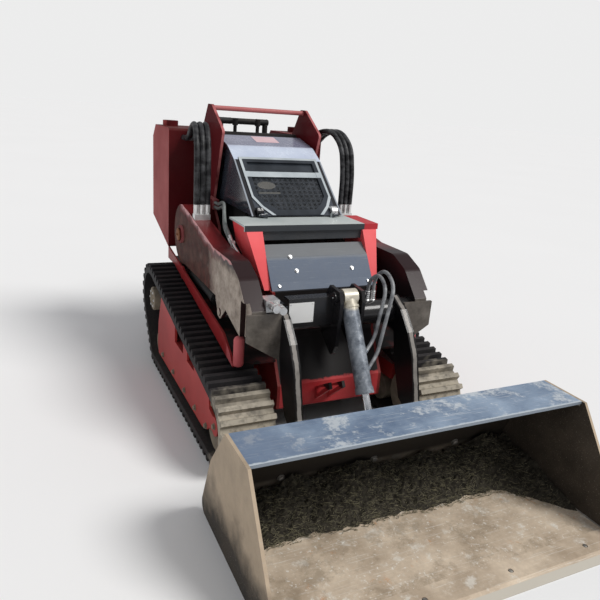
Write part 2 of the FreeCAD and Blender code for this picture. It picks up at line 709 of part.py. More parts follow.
def make_console():
    half = L["frame_half"]
    front = L["hood_rear"] + 6
    rear = L["console_rear"]
    top = L["console_top"]
    deck = L["frame_deck"]
    shelf = L["ledge_top"] + 22
    outline = [(front, shelf), (front, top - 32), (front + 54, top), (rear - 70, top - 88),
               (rear, top - 228), (rear, deck), (L["tower_front"], deck), (L["tower_front"], shelf)]
    console = plate("console", "x", (-half, half), outline,
                    rounds=[(rear - 70, top - 88, 40), (front + 54, top, 20)])
    finish("console", console)
    finish("thigh_pad", box("thigh_pad", (-190, 190), (rear, rear + 32), (top - 518, top - 268)))
    reach = L["grip_half"]
    bar_top = L["grip_top"]
    thick = L["grip_radius"]
    bars = [rod("grip_bar", "x", -reach - thick, reach + thick, (rear - 130, bar_top), thick)]
    for side, name in SIDES:
        bars.append(rod("grip_post_%s" % name, "z", top - 108, bar_top, (side * reach, rear - 130), thick - 1))
        bars.append(rod("lever_%s" % name, "z", top - 108, bar_top + 12, (side * reach / 2, rear - 180), 9))
        bars.append(rod("lever_knob_%s" % name, "z", bar_top - 18, bar_top + 16, (side * reach / 2, rear - 180), 14))
    finish("hand_controls", cut("hand_controls", fuse("control_bars", bars), console))


def make_chassis():
    make_main_frame()
    make_crossbar()
    for side, name in SIDES:
        upright = make_upright(side, name)
        make_fender(side, name, upright)
        make_tower(side, name)
        make_post(side, name)
    make_engine()
    make_ledge()
    make_front_cover()
    make_console()


# Tracks

def loop_circles(inset):
    """Centre and radius of the three rounds of a track loop."""
    names = ("idler", "rear_roller", "sprocket")
    heights = (L["idler_reach"], L["rear_roller_reach"], L["sprocket_z"])
    rounds = []
    for name, height in zip(names, heights):
        rounds.append((L["%s_y" % name].value, height.value, L["%s_reach" % name].value - inset))
    return rounds


def tangent_angle(first, second):
    """Direction, seen from both centres, of the points where the outer line touches."""
    dy, dz = second[0] - first[0], second[1] - first[1]
    return math.atan2(dz, dy) - math.acos((first[2] - second[2]) / math.hypot(dy, dz))


def loop_runs(inset):
    """Straight runs and arcs of a loop: idler, ground, roller, sprocket, back to idler."""
    rounds = loop_circles(inset)
    angles = [tangent_angle(rounds[i], rounds[(i + 1) % 3]) for i in range(3)]
    runs = []
    for number in range(3):
        ring = rounds[number]
        start = angles[number - 1]
        end = angles[number]
        while end < start:
            end += 2 * math.pi
        runs.append(("arc", ring, start, end))
        after = rounds[(number + 1) % 3]
        begin = (ring[0] + ring[2] * math.cos(end), ring[1] + ring[2] * math.sin(end))
        finish_at = (after[0] + after[2] * math.cos(end), after[1] + after[2] * math.sin(end))
        runs.append(("line", begin, finish_at, end))
    return runs


def run_length(run):
    if run[0] == "arc":
        return run[1][2] * (run[3] - run[2])
    return math.dist(run[1], run[2])


def at_length(runs, distance):
    """Place and outward direction at a distance along the loop."""
    for run in runs:
        length = run_length(run)
        if distance <= length:
            share = distance / length
            if run[0] == "arc":
                angle = run[2] + (run[3] - run[2]) * share
                ring = run[1]
                return (ring[0] + ring[2] * math.cos(angle), ring[1] + ring[2] * math.sin(angle), angle)
            begin, end = run[1], run[2]
            return (begin[0] + (end[0] - begin[0]) * share, begin[1] + (end[1] - begin[1]) * share, run[3])
        distance -= length
    return at_length(runs, 0)


def loop_face(inset, x):
    edges = []
    for run in loop_runs(inset):
        if run[0] == "line":
            edges.append(Part.LineSegment(Vector(x, *run[1]), Vector(x, *run[2])).toShape())
            continue
        ring, start, end = run[1:]
        middle = (start + end) / 2
        places = [Vector(x, ring[0] + ring[2] * math.cos(a), ring[1] + ring[2] * math.sin(a))
                  for a in (start, middle, end)]
        edges.append(Part.Arc(*places).toShape())
    return Part.Face(Part.Wire(edges))


def make_track(side, name):
    """A closed rubber belt with one lug after the other round its outside."""
    low, high = [v.value for v in across(side, TRACK_INNER, TRACK_OUTER)]
    reach = Vector(high - low, 0, 0)
    height = L["lug_height"].value
    outer = loop_face(height, low).extrude(reach)
    inner = loop_face(height + L["belt_sheet"].value, low).extrude(reach)
    belt = outer.cut(inner)
    runs = loop_runs(height)
    total = sum(run_length(run) for run in runs)
    count = int(L["lug_count"].value)
    root, tip = total / count * 0.30, total / count * 0.21
    lugs = []
    for number in range(count):
        y, z, angle = at_length(runs, total * (number + 0.5) / count)
        out = (math.cos(angle), math.sin(angle))
        along = (-out[1], out[0])
        corners = []
        for forward, rise in ((-root, -3), (-tip, height), (tip, height), (root, -3)):
            corners.append(Vector(low, y + along[0] * forward + out[0] * rise,
                                  z + along[1] * forward + out[1] * rise))
        lugs.append(Part.Face(Part.makePolygon(corners + corners[:1])).extrude(reach))
    loop = belt.multiFuse(lugs).removeSplitter()
    loop.translate(Vector(0, 0, -loop.BoundBox.ZMin))
    feature("track_%s" % name, loop)


def make_sprocket_ring(side, name, radius, span):
    """The toothed ring: one tooth on a disc, repeated round it."""
    body = doc.addObject("PartDesign::Body", spare("sprocket_ring_%s" % name))
    width = L["sprocket_width"]
    pad(body, "sprocket_disc_%s" % name, "x", (0, width), circles=[((0, 0), radius)])
    tip = radius + L["sprocket_tooth"]
    outline = [(-15, radius - 6), (15, radius - 6), (8, tip - 1), (-8, tip - 1)]
    tooth = pad(body, "sprocket_tooth_%s" % name, "x", (0, width), outlines=[outline])
    ring = body.newObject("PartDesign::PolarPattern", spare("sprocket_teeth_%s" % name))
    ring.Originals = [tooth]
    ring.Axis = (tooth.Profile[0], ["N_Axis"])
    ring.Angle = 360
    ring.setExpression("Occurrences", L["sprocket_teeth"].text)
    body.Tip = ring
    bind(body, "Placement.Base.x", span[0])
    bind(body, "Placement.Base.y", L["sprocket_y"])
    bind(body, "Placement.Base.z", L["sprocket_z"])
    doc.recompute()
    return body


def make_running_gear(side, name):
    web = L["belt_sheet"] + L["lug_height"] + L["wheel_gap"]
    skin = L["track_frame_sheet"]
    outer = TRACK_OUTER - L["track_frame_inset"]
    inner = TRACK_INNER + L["track_frame_inset"]
    middle = (outer + inner) / 2
    idler = (L["idler_y"], L["idler_reach"])
    front = L["idler_y"] + 53
    low = L["roller_radius"] + 8
    sprocket = (L["sprocket_y"], L["sprocket_z"])
    top_rear = (sprocket[0] - 180, sprocket[1] + 82)
    outline = [
        (front, low + 50), (front + 27, low + 200), (-120, low + 236), (sprocket[0] - 290, sprocket[1] + 78),
        top_rear, (sprocket[0] - 115, sprocket[1] - 80), (sprocket[0] - 100, low + 50),
        (sprocket[0] - 120, low), (front + 95, low), (front + 27, low + 25),
    ]
    windows = [
        [(46, low + 180), (46, low + 256), (186, low + 280), (186, low + 180)],
        [(-120, low + 175), (-120, low + 215), (-18, low + 233), (-18, low + 175)],
    ]
    span = across(side, outer - skin, outer)
    shapes = [plate("track_frame_plate_%s" % name, "x", span, outline, windows=windows)]
    tongue = [(idler[0], idler[1] - 24), (front + 60, idler[1] - 50), (front + 60, idler[1] + 50),
              (idler[0], idler[1] + 24)]
    shapes.append(plate("idler_tongue_%s" % name, "x", span, tongue, discs=[(idler, 36)]))
    beam_front = L["idler_y"] + L["idler_reach"] - web + 9
    shapes.append(box("track_beam_%s" % name, across(side, inner, outer - skin),
                      (beam_front, sprocket[0] - 150), (176, 245)))
    tube = across(side, L["frame_half"], inner + 10)
    for number, place in enumerate(((-120, 215), (330, 230))):
        shapes.append(rod("axle_tube%d_%s" % (number, name), "x", tube[0], tube[1], place,
                          L["axle_tube_radius"]))
    finish("track_frame_%s" % name, fuse("track_frame_%s" % name, shapes))
    wheels = [(idler[0], idler[1], L["idler_reach"] - web)]
    for y in (-200, 0, 200):
        wheels.append((y, web + L["roller_radius"], L["roller_radius"]))
    wheels.append((L["rear_roller_y"], L["rear_roller_reach"], L["rear_roller_reach"] - web))
    wheel_span = across(side, inner, outer - skin - 4)
    axle_span = across(side, inner - 6, outer - skin)
    shapes = []
    for number, (y, z, radius) in enumerate(wheels):
        shapes.append(rod("wheel%d_%s" % (number, name), "x", wheel_span[0], wheel_span[1], (y, z), radius))
        shapes.append(rod("axle%d_%s" % (number, name), "x", axle_span[0], axle_span[1], (y, z), 16))
    finish("track_rollers_%s" % name, fuse("track_rollers_%s" % name, shapes))
    half_width = L["sprocket_width"] / 2
    ring = make_sprocket_ring(side, name, L["sprocket_reach"] - web - L["sprocket_tooth"],
                              across(side, middle - half_width, middle + half_width))
    hub_span = across(side, L["frame_half"], outer)
    hub = rod("sprocket_hub_%s" % name, "x", hub_span[0], hub_span[1], sprocket, L["hub_radius"])
    finish("sprocket_%s" % name, fuse("sprocket_%s" % name, [ring, hub]))


# Hood

def on_slope(obj):
    """Place a piece that is drawn flat on the sloping hood front."""
    bind(obj, "Placement.Base.y", HOOD_FOOT[0])
    bind(obj, "Placement.Base.z", HOOD_FOOT[1])
    obj.Placement = Placement(obj.Placement.Base, Rotation(Vector(1, 0, 0), L["hood_slope"].value))
    obj.setExpression("Placement.Rotation.Angle", "%s * 1 deg" % L["hood_slope"].text)
    return obj


def grille_outline(inset):
    """The front opening, narrower towards its foot. inset is measured inwards."""
    half = L["grille_half"] - inset
    low = L["grille_low"] + inset
    high = L["grille_high"] - inset
    right = [(half, high), (half - 3, low + 88 - 0.7 * inset), (half - 32, low + 38 - 0.3 * inset),
             (half - 70, low)]
    return right + [(-x, v) for x, v in reversed(right)]


def make_hood_shell():
    half = HOOD_HALF
    skin = L["hood_sheet"]
    rear = L["hood_rear"]
    top = L["hood_top"]
    foot_y, foot_z = HOOD_FOOT
    lip_y, lip_z = HOOD_LIP
    outline = [(foot_y, foot_z), (lip_y, lip_z), (lip_y + 88, lip_z + 48), (rear - 40, top),
               (rear, top - 12), (rear, foot_z)]
    shell = plate("hood_outside", "x", (-half, half), outline,
                  rounds=[(lip_y, lip_z, 20), (lip_y + 88, lip_z + 48, 60)])
    room = [
        (foot_y + 14, foot_z - 1), (foot_y + 14, foot_z + 4.9), (lip_y + 0.56 * skin, lip_z - 0.83 * skin),
        (lip_y + 88 + 0.36 * skin, lip_z + 48 - 0.94 * skin), (rear - 40, top - 1.04 * skin),
        (rear + 1, top - 12 - 1.1 * skin), (rear + 1, foot_z - 1),
    ]
    hollow = plate("hood_inside", "x", (-half + skin, half - skin), room)
    shell = cut("hood_hollow", shell, hollow)
    opening = on_slope(plate("hood_window", "z", (-20, 20), grille_outline(0)))
    shapes = [cut("hood_open", shell, opening)]
    low = L["hood_hinge_x"] + L["hood_hinge_sheet"] + L["pin_gap"]
    hinge = HOOD_HINGE
    for side, name in SIDES:
        ear = [(hinge[0], hinge[1] - 8), (foot_y + 12, foot_z), (foot_y + 12, foot_z + 9.7),
               (hinge[0], hinge[1] + 8)]
        shapes.append(plate("hood_ear_%s" % name, "x", across(side, low, low + 16), ear,
                            discs=[(hinge, 8)], holes=[(hinge, L["hood_pin_radius"] + L["pin_gap"])]))
    finish("hood_shell", fuse("hood_shell", shapes))


def make_grille():
    """Rim, cross bar and a sheet whose square holes are one hole repeated both ways."""
    skin = L["hood_sheet"]
    sheet_low = -skin - L["grille_sheet"]
    rim = L["grille_rim"]
    body = doc.addObject("PartDesign::Body", spare("grille_sheet"))
    pad(body, "grille_sheet_pad", "z", (sheet_low, -skin), outlines=[grille_outline(0.5)])
    hole = L["grille_hole"]
    columns = L["grille_columns"]
    rows = L["grille_rows"]
    room_x = 2 * (L["grille_half"] - rim) - 6
    room_v = L["grille_bar"] - L["grille_low"] - rim - 6
    start_x = -room_x / 2
    start_v = L["grille_low"] + rim + 3
    corner = [(start_x, start_v), (start_x + hole, start_v), (start_x + hole, start_v + hole),
              (start_x, start_v + hole)]
    first = pad(body, "grille_hole", "z", (sheet_low, -skin), outlines=[corner], remove=True)
    pattern = body.newObject("PartDesign::MultiTransform", spare("grille_holes"))
    pattern.Originals = [first]
    steps = []
    for axis, count, room in (("H_Axis", columns, room_x), ("V_Axis", rows, room_v)):
        step = doc.addObject("PartDesign::LinearPattern", spare("grille_" + axis))
        step.Direction = (first.Profile[0], [axis])
        bind(step, "Length", room - hole)
        step.setExpression("Occurrences", count.text)
        steps.append(step)
    pattern.Transformations = steps
    body.Tip = pattern
    doc.recompute()
    inner = grille_outline(rim)
    seat = plate("grille_seat", "z", (sheet_low, 0), grille_outline(0.5), windows=[inner])
    face = plate("grille_face", "z", (0, 4), grille_outline(-14), windows=[inner])
    half = L["grille_half"] - rim + 1
    bar_high = L["grille_bar"] + L["grille_bar_width"]
    bar = plate("grille_bar", "z", (sheet_low, 3), [(-half, L["grille_bar"]), (half, L["grille_bar"]),
                                                    (half, bar_high), (-half, bar_high)])
    finish("hood_grille", fuse("hood_grille", [on_slope(piece) for piece in (body, seat, face, bar)]))


def make_hood():
    make_hood_shell()
    make_grille()


# Arms

def arm_outline():
    pivot_y, pivot_z = PIVOT
    boss = L["arm_boss_radius"]
    front = L["arm_front"]
    top = L["arm_top"]
    return [
        (pivot_y, pivot_z + boss), (pivot_y - 110, pivot_z + boss - 14), (0, top), (front + 190, top),
        (front + 95, top - 40), (front, top - 137), (front, L["torque_tube_z"] - 50),
        (front + 55, L["torque_tube_z"] - 58), (L["lift_eye_y"], L["lift_eye_z"] + 50),
        (pivot_y - 60, pivot_z - boss + 8), (pivot_y, pivot_z - boss),
    ]


def make_arm(side, name):
    inner = ARM_INNER
    outer = ARM_OUTER
    front = L["arm_front"]
    top = L["arm_top"]
    beam = plate("arm_%s" % name, "x", across(side, inner, outer), arm_outline(),
                 rounds=[(front + 190, top, 70), (front + 95, top - 40, 60)],
                 discs=[(PIVOT, L["arm_boss_radius"])],
                 holes=[(PIVOT, L["lift_pin_radius"] + L["pin_gap"])])
    notch = box("arm_notch_%s" % name, across(side, outer - 20, outer + 1), (front - 1, front + L["arm_notch"]),
                (L["torque_tube_z"] - 65, top - 112))
    # The raised arm takes the lift cylinder into a slot in its underside
    y, z = PIVOT
    room = L["lift_barrel_radius"] + 5
    slot = plate("arm_slot_%s" % name, "x", across(side, ARM_MIDDLE - room, ARM_MIDDLE + room),
                 [(y - 340, z - 160), (y - 340, z - 125), (y - 265, z - 112), (y + 150, z - 88),
                  (y + 150, z - 160)])
    shapes = [cut("arm_beam_%s" % name, beam, fuse("arm_rooms_%s" % name, [notch, slot]))]
    y, z = LIFT_EYE
    ear_outline = [(y - 65, z + 45), (y - 65, z + 25), (y - 25, z - 10), (y + 25, z - 10), (y + 55, z + 42),
                   (y + 55, z + 70), (y, z + 56)]
    gap = L["lift_eye_half"] + L["eye_gap"]
    ears = ((inner, ARM_MIDDLE - gap), (ARM_MIDDLE + gap, outer))
    for number, (low, high) in enumerate(ears):
        shapes.append(plate("arm_ear%d_%s" % (number, name), "x", across(side, low, high), ear_outline,
                            discs=[(LIFT_EYE, L["rod_eye_radius"] + 2)]))
    for number, (low, high) in enumerate(((inner - 5, inner), (outer, outer + 5))):
        span = across(side, low, high)
        shapes.append(rod("arm_eye_head%d_%s" % (number, name), "x", span[0], span[1], LIFT_EYE, 16))
    tube_z = L["torque_tube_z"]
    link = [(side * outer, tube_z - 54), (side * outer, tube_z + 46), (side * BLADE_OUTER, tube_z + 46),
            (side * BLADE_OUTER, tube_z - 136)]
    shapes.append(plate("arm_link_%s" % name, "y", (front - L["arm_sheet"], front), link))
    finish("lift_arm_%s" % name, fuse("lift_arm_%s" % name, shapes))
    make_fittings(side, name)
    make_hoses(side, name)


def arm_edge(y):
    """Height of an arm's upper edge between its boss and its middle."""
    rise = L["lift_pivot_z"] + L["arm_boss_radius"] - 14 - L["arm_top"]
    return L["arm_top"] + rise * y / (L["lift_pivot_y"] - 110)


def make_fittings(side, name):
    """The block and three stems on an arm that the hoses end on."""
    y = L["fitting_y"]
    shelf = L["fitting_shelf"]
    outline = [(y - 17, arm_edge(y - 17)), (y + 17, arm_edge(y + 17)), (y + 17, shelf), (y - 17, shelf)]
    shapes = [plate("fitting_block_%s" % name, "x", across(side, ARM_INNER + 2, ARM_OUTER - 2), outline)]
    for number in (-1, 0, 1):
        place = (side * (ARM_MIDDLE + number * L["hose_pitch"]), y)
        shapes.append(rod("stem%d_%s" % (number, name), "z", shelf, L["fitting_top"], place,
                          L["hose_radius"] - 0.5))
    finish("hose_fittings_%s" % name, fuse("hose_fittings_%s" % name, shapes))


def make_hoses(side, name):
    """Three hoses that arch from the tower over the arms' pivot to the fittings."""
    middle = ARM_MIDDLE.value
    front = L["tower_front"].value
    y = L["fitting_y"].value
    top = L["fitting_top"].value
    high = L["tower_top"].value
    tubes = []
    for number in (-1, 0, 1):
        spread = number * L["hose_pitch"].value
        route = [
            (middle - 45, front, high - 40), (middle - 45, front - 85, high - 40),
            (middle - 37, front - 180, high + 27), (middle - 20, y + 110, high + 40),
            (middle - 5, y + 25, high - 27), (middle, y, top + 133), (middle, y, top),
        ]
        route = [(side * (x + spread), place, z) for x, place, z in route]
        tubes.append(tube_along("hose_%s_%d" % (name, number + 2), route, L["hose_radius"].value))
    feature("hose_bundle_%s" % name, Part.makeCompound(tubes))


def make_blade(side, name):
    tube = (L["torque_tube_y"], L["torque_tube_z"])
    y, z = TILT_PIVOT
    outline = [
        (tube[0] + 45, tube[1] + 65), (tube[0] - 12, tube[1] + 65), (tube[0] - 79, tube[1] + 28),
        (tube[0] - 143, tube[1] - 44), (tube[0] - 186, tube[1] - 119), (y + 69, z + 138), (y - 24, z + 16),
        (y, z), (y + 17, z - 22), (y + 73, z + 58), (y + 166, z + 108), (tube[0] - 79, tube[1] - 185),
        (tube[0] - 50, tube[1] - 65), (tube[0] + 45, tube[1] - 60),
    ]
    body = plate("blade_%s" % name, "x", across(side, BLADE_INNER, BLADE_OUTER), outline,
                 rounds=[(tube[0] - 79, tube[1] - 185, 60), (tube[0] - 186, tube[1] - 119, 80)],
                 discs=[(TILT_PIVOT, L["rod_eye_radius"] + 4)],
                 holes=[(tube, L["torque_tube_radius"]), (TILT_PIVOT, L["tilt_pin_radius"] + L["pin_gap"])])
    finish("blade_%s" % name, body)


def make_crossmember():
    tube = (L["torque_tube_y"], L["torque_tube_z"])
    radius = L["torque_tube_radius"]
    shapes = [rod("torque_tube", "x", -ARM_INNER, ARM_INNER, tube, radius)]
    gap = L["tilt_barrel_radius"] + L["gland_lip"] + 5
    skin = L["tilt_bracket_sheet"]
    y, z = TILT_BASE
    outline = [(tube[0] + 45, z - 52), (y + 50, z + 34), (y - 26, z + 28), (y - 42, z - 12),
               (y - 30, tube[1] - 90), (y - 5, tube[1] - 140), (tube[0] + 15, tube[1] - 80),
               (tube[0] + 45, tube[1] - 50)]
    for side, name in SIDES:
        shapes.append(plate("tilt_bracket_%s" % name, "x", across(side, gap, gap + skin), outline,
                            rounds=[(y - 5, tube[1] - 140, 18)]))
        span = across(side, gap + skin, gap + skin + L["head_sheet"])
        shapes.append(rod("tilt_pin_head_%s" % name, "x", span[0], span[1], TILT_BASE,
                          L["tilt_base_pin_radius"] + 6))
    shapes.append(rod("tilt_base_pin", "x", -gap - skin, gap + skin, TILT_BASE, L["tilt_base_pin_radius"]))
    front = tube[0] - radius
    angle = [(front - 4, tube[1] - 15), (front - 4, z), (front + 43, z), (front + 43, z - 8),
             (front + 4, z - 8), (front + 4, tube[1] - 15)]
    shapes.append(plate("angle_plate", "x", across(-1, gap + skin, BLADE_INNER), angle))
    finish("arm_crossmember", fuse("arm_crossmember", shapes))


# Lines to the front couplers, on the right arm

def aux_routes():
    """Two steel tubes on the arm's inner face, each as x, y, z points."""
    x = -(ARM_INNER.value - L["aux_hose_radius"].value)
    block = L["arm_front"].value + 65
    top = L["arm_top"].value
    upper = [(x, block, top - 112), (x, block + 45, top - 112), (x, -120, top - 22), (x, -20, top + 4),
             (x, 45, top + 37)]
    lower = [(x, block, top - 130), (x, block + 50, top - 130), (x, -115, top - 39), (x, -15, top - 12),
             (x, 53, top + 23)]
    return upper, lower


def make_aux():
    side = -1
    front = L["arm_front"]
    top = L["arm_top"]
    tubes = []
    ends = []
    for name, route in zip(("upper", "lower"), aux_routes()):
        tubes.append(tube_along("aux_tube_%s" % name, route, L["aux_tube_radius"].value))
        last = Vector(*route[-1])
        out = (last - Vector(*route[-2])).normalize()
        tubes.append(Part.makeCylinder(L["aux_hose_radius"].value - 0.2, 22, last - out * 22, out))
        ends.append((last, out))
    pipes = tubes[0].multiFuse(tubes[1:])
    block = box("coupler_block", across(side, ARM_INNER - 52, ARM_INNER), (front + 3, front + 65),
                (L["torque_tube_z"] + L["torque_tube_radius"], top - 100))
    clamp = box("tube_clamp", across(side, ARM_INNER - 13, ARM_INNER), (-5, 12), (top - 18, top + 26))
    lines = doc.addObject("Part::Feature", spare("aux_pipes"))
    lines.Shape = pipes
    finish("aux_lines", fuse("aux_lines", [lines, block, clamp]))
    shapes = []
    for number, (inset, drop) in enumerate(((16, 14), (42, 22))):
        place = (-(ARM_INNER - inset), top - 100 - drop)
        radius = L["coupler_radius"]
        end = front + 3
        shapes.append(rod("coupler%d" % number, "y", end - 46, end, place, radius))
        shapes.append(rod("coupler_sleeve%d" % number, "y", end - 40, end - 16, place, radius + 2))
        shapes.append(rod("coupler_cap%d" % number, "y", end - 58, end - 46, place, radius + 1))
    finish("aux_couplers", fuse("aux_couplers", shapes))
    face = L["frame_half"].value + L["upright_sheet"].value
    start = L["tower_front"].value - 295
    height = L["tower_front"].value + 122
    hoses = []
    for name, drop, (last, out) in zip(("upper", "lower"), (0, 20), ends):
        before = last + out * 73
        route = [(-face - 18, start, height - drop), (-face - 18, start - 55, height - drop),
                 (-face - 20, start - 105, height + 20 - drop), (-face - 32, start - 170, height + 24 - drop),
                 (-face - 52, start - 235, height + 2 - drop), tuple(before), tuple(last)]
        hoses.append(tube_along("aux_hose_%s" % name, route, L["aux_hose_radius"].value))
    feature("aux_hoses", Part.makeCompound(hoses))


# Cylinders

def make_cylinder(name, x, base, eye, barrel_radius, rod_radius, pin, eye_half, ports=()):
    """Barrel and rod along the line from the base pin to the rod's eye."""
    dy = eye[0].value - base[0].value
    dz = eye[1].value - base[1].value
    length = math.hypot(dy, dz)
    turn = Rotation(Vector(0, 0, 1), Vector(0, dy, dz))
    place = Placement(Vector(as_length(x).value, base[0].value, base[1].value), turn)
    gap = L["pin_gap"].value
    lip = L["gland_lip"].value
    radius = barrel_radius.value
    rod_size = rod_radius.value
    half = eye_half.value
    end = 0.72 * length
    along = Vector(0, 0, 1)
    sideways = Vector(1, 0, 0)
    body = Part.makeCylinder(radius, end - 34, Vector(0, 0, 34), along)
    gland = Part.makeCylinder(radius + lip, 24, Vector(0, 0, end - 24), along)
    foot = Part.makeCylinder(radius + lip, 10, Vector(0, 0, 34), along)
    ring = Part.makeCylinder(radius, 2 * half, Vector(-half, 0, 0), sideways)
    neck = Part.makeCylinder(radius - 3, 36, Vector(0, 0, 4), along)
    extra = [Part.makeCylinder(8, 20, Vector(radius - 7, 0, port + 14), Vector(1, 0, -1)) for port in ports]
    barrel = body.multiFuse([gland, foot, ring, neck] + extra)
    room = Part.makeCylinder(rod_size + gap, end, Vector(0, 0, 46), along)
    pin_hole = Part.makeCylinder(pin.value + gap, 4 * radius, Vector(-2 * radius, 0, 0), sideways)
    barrel = barrel.cut(room).cut(pin_hole)
    stem = Part.makeCylinder(rod_size, length - 100, Vector(0, 0, 90), along)
    disc = Part.makeCylinder(L["rod_eye_radius"].value, 2 * half, Vector(-half, 0, length), sideways)
    collar = Part.makeCylinder(rod_size + 3, 22, Vector(0, 0, length - 40), along)
    feature("%s_barrel" % name, barrel.removeSplitter(), place)
    feature("%s_rod" % name, stem.multiFuse([disc, collar]).removeSplitter(), place)
    ends = []
    for port in ports:
        start = Vector(radius + 7.16, 0, port - 0.16)
        ends.append((place.multVec(start), place.multVec(start + Vector(42, 0, -42))))
    return ends


def make_tilt_hoses(ports):
    """Two hoses from the tube across the arms up and over to the tilt cylinder."""
    y = L["torque_tube_y"].value
    z = L["torque_tube_z"].value + L["torque_tube_radius"].value
    tubes = []
    for number, (end, before) in enumerate(ports):
        x = 125 + 25 * number
        lift = 14 * number
        route = [(x, y, z), (x, y, z + 80 + lift), (x - 3, y - 70, z + 129 + lift),
                 (x - 15, y - 147 - lift, z + 93 + lift), tuple(before), tuple(end)]
        tubes.append(tube_along("tilt_hose_%d" % (number + 1), route, L["tilt_hose_radius"].value))
    feature("tilt_hoses", Part.makeCompound(tubes))


def make_cylinders():
    for side, name in SIDES:
        make_cylinder("lift_%s" % name, side * ARM_MIDDLE, LIFT_BASE, LIFT_EYE, L["lift_barrel_radius"],
                      L["lift_rod_radius"], L["lift_base_pin_radius"], L["lift_eye_half"])
    ports = make_cylinder("tilt", 0, TILT_BASE, TILT_EYE, L["tilt_barrel_radius"], L["tilt_rod_radius"],
                          L["tilt_base_pin_radius"], L["tilt_eye_half"], ports=(205, 265))
    make_tilt_hoses(ports)


# Bucket

HEEL = L["tilt_pivot_y"] + L["heel_set"]
KNEE = (HEEL - L["knee_set"], L["knee_height"])
SIDE_HEEL = HEEL + L["heel_lap"]
SIDE_KNEE = (SIDE_HEEL - L["knee_set"], L["knee_height"])
LIP_REAR = SIDE_KNEE[0] - L["lip_set"]
LIP_FRONT = LIP_REAR - L["lip_depth"]
EDGE_FRONT = HEEL - L["bucket_depth"]


def back_wall(z):
    """Rear face of the bucket's back wall at a height below its knee."""
    return HEEL - as_length(z) * L["knee_set"] / L["knee_height"]


def make_bucket():
    half = L["bucket_width"] / 2
    skin = L["bucket_sheet"]
    side_skin = L["bucket_side"]
    top = L["bucket_height"]
    under = top - L["lip_sheet"]
    edge = EDGE_FRONT + L["edge_width"]
    heel_round = L["heel_round"]
    knee_round = L["knee_round"]
    inner_knee = (KNEE[0] - 0.877 * skin, KNEE[1] - 0.498 * skin)
    inner_heel = (HEEL - 1.488 * skin, skin)
    profile = [(edge, 0), (HEEL, 0), KNEE, (LIP_REAR - 12, under), (LIP_REAR - 12 - 1.248 * skin, under),
               inner_knee, inner_heel, (edge, skin)]
    shell = plate("bucket_shell", "x", (-half + side_skin, half - side_skin), profile,
                  rounds=[(HEEL, 0, heel_round), KNEE + (knee_round,), inner_knee + (knee_round - skin,),
                          inner_heel + (heel_round - skin,)])
    finish("bucket_shell", shell)
    side_outline = [(EDGE_FRONT + 42, 0), (SIDE_HEEL, 0), SIDE_KNEE, (LIP_REAR, top), (LIP_FRONT - 12, top),
                    (EDGE_FRONT + 30, 26)]
    plates = [plate("bucket_side_%s" % name, "x", across(side, half - side_skin, half), side_outline,
                    rounds=[(SIDE_HEEL, 0, heel_round), SIDE_KNEE + (knee_round,)])
              for side, name in SIDES]
    finish("bucket_sides", fuse("bucket_sides", plates))
    width = (-half + side_skin, half - side_skin)
    finish("bucket_lip", box("bucket_lip", width, (LIP_FRONT, LIP_REAR), (under, top)))
    thick = L["edge_sheet"]
    blade = [(EDGE_FRONT, 0), (edge, 0), (edge, thick), (EDGE_FRONT + L["edge_bevel"], thick), (EDGE_FRONT, 2)]
    bar = plate("edge_bar", "x", width, blade)
    drills = []
    for number, share in enumerate((-1.5, -0.5, 0.5, 1.5)):
        place = (share * L["edge_hole_pitch"], EDGE_FRONT + L["edge_hole_set"])
        drills.append(rod("edge_hole%d" % number, "z", -1, thick + 1, place, L["edge_hole_radius"]))
    finish("cutting_edge", cut("cutting_edge", bar, fuse("edge_drills", drills)))
    make_mount()


def make_mount():
    """The coupling plate on the bucket's back, with ears for the blades and the rod."""
    skin = L["mount_sheet"]
    clear = L["side_gap"]
    y, z = TILT_PIVOT
    reach = BLADE_INNER - clear - skin
    low, middle, high = 60, 105, 210
    strip = [(back_wall(low), low), (back_wall(low) + skin, low), (back_wall(middle) + skin, middle),
             (back_wall(middle), middle)]
    shapes = [plate("mount_strip", "x", (-reach, reach), strip)]
    eye_gap = L["tilt_eye_half"] + L["eye_gap"]
    panel = [(back_wall(middle - 1), middle - 1), (back_wall(middle - 1) + skin, middle - 1),
             (back_wall(high) + skin, high), (back_wall(high), high)]
    ear = [(back_wall(z - 46), z - 46), (y + 6, z - 27), (y + 18, z + 21), (back_wall(z + 76), z + 76)]
    pin_end = BLADE_OUTER + clear + skin
    for side, name in SIDES:
        shapes.append(plate("mount_panel_%s" % name, "x", across(side, eye_gap, reach), panel))
        for number, start in enumerate((reach, BLADE_OUTER + clear)):
            shapes.append(plate("mount_ear%d_%s" % (number, name), "x", across(side, start, start + skin), ear,
                                discs=[(TILT_PIVOT, L["rod_eye_radius"] + 4)]))
        span = across(side, reach, pin_end)
        shapes.append(rod("mount_pin_%s" % name, "x", span[0], span[1], TILT_PIVOT, L["tilt_pin_radius"]))
        eye_y, eye_z = TILT_EYE
        rod_ear = [(back_wall(eye_z - 65), eye_z - 65), (eye_y + 12, eye_z - 21), (eye_y + 12, eye_z + 21),
                   (back_wall(high), high)]
        shapes.append(plate("rod_ear_%s" % name, "x", across(side, eye_gap, eye_gap + skin), rod_ear,
                            discs=[(TILT_EYE, L["rod_eye_radius"])]))
        span = across(side, eye_gap + skin, eye_gap + skin + L["head_sheet"])
        shapes.append(rod("rod_ear_head_%s" % name, "x", span[0], span[1], TILT_EYE, L["rod_eye_radius"] - 4))
    finish("bucket_mount", fuse("bucket_mount", shapes))


# Operator's platform

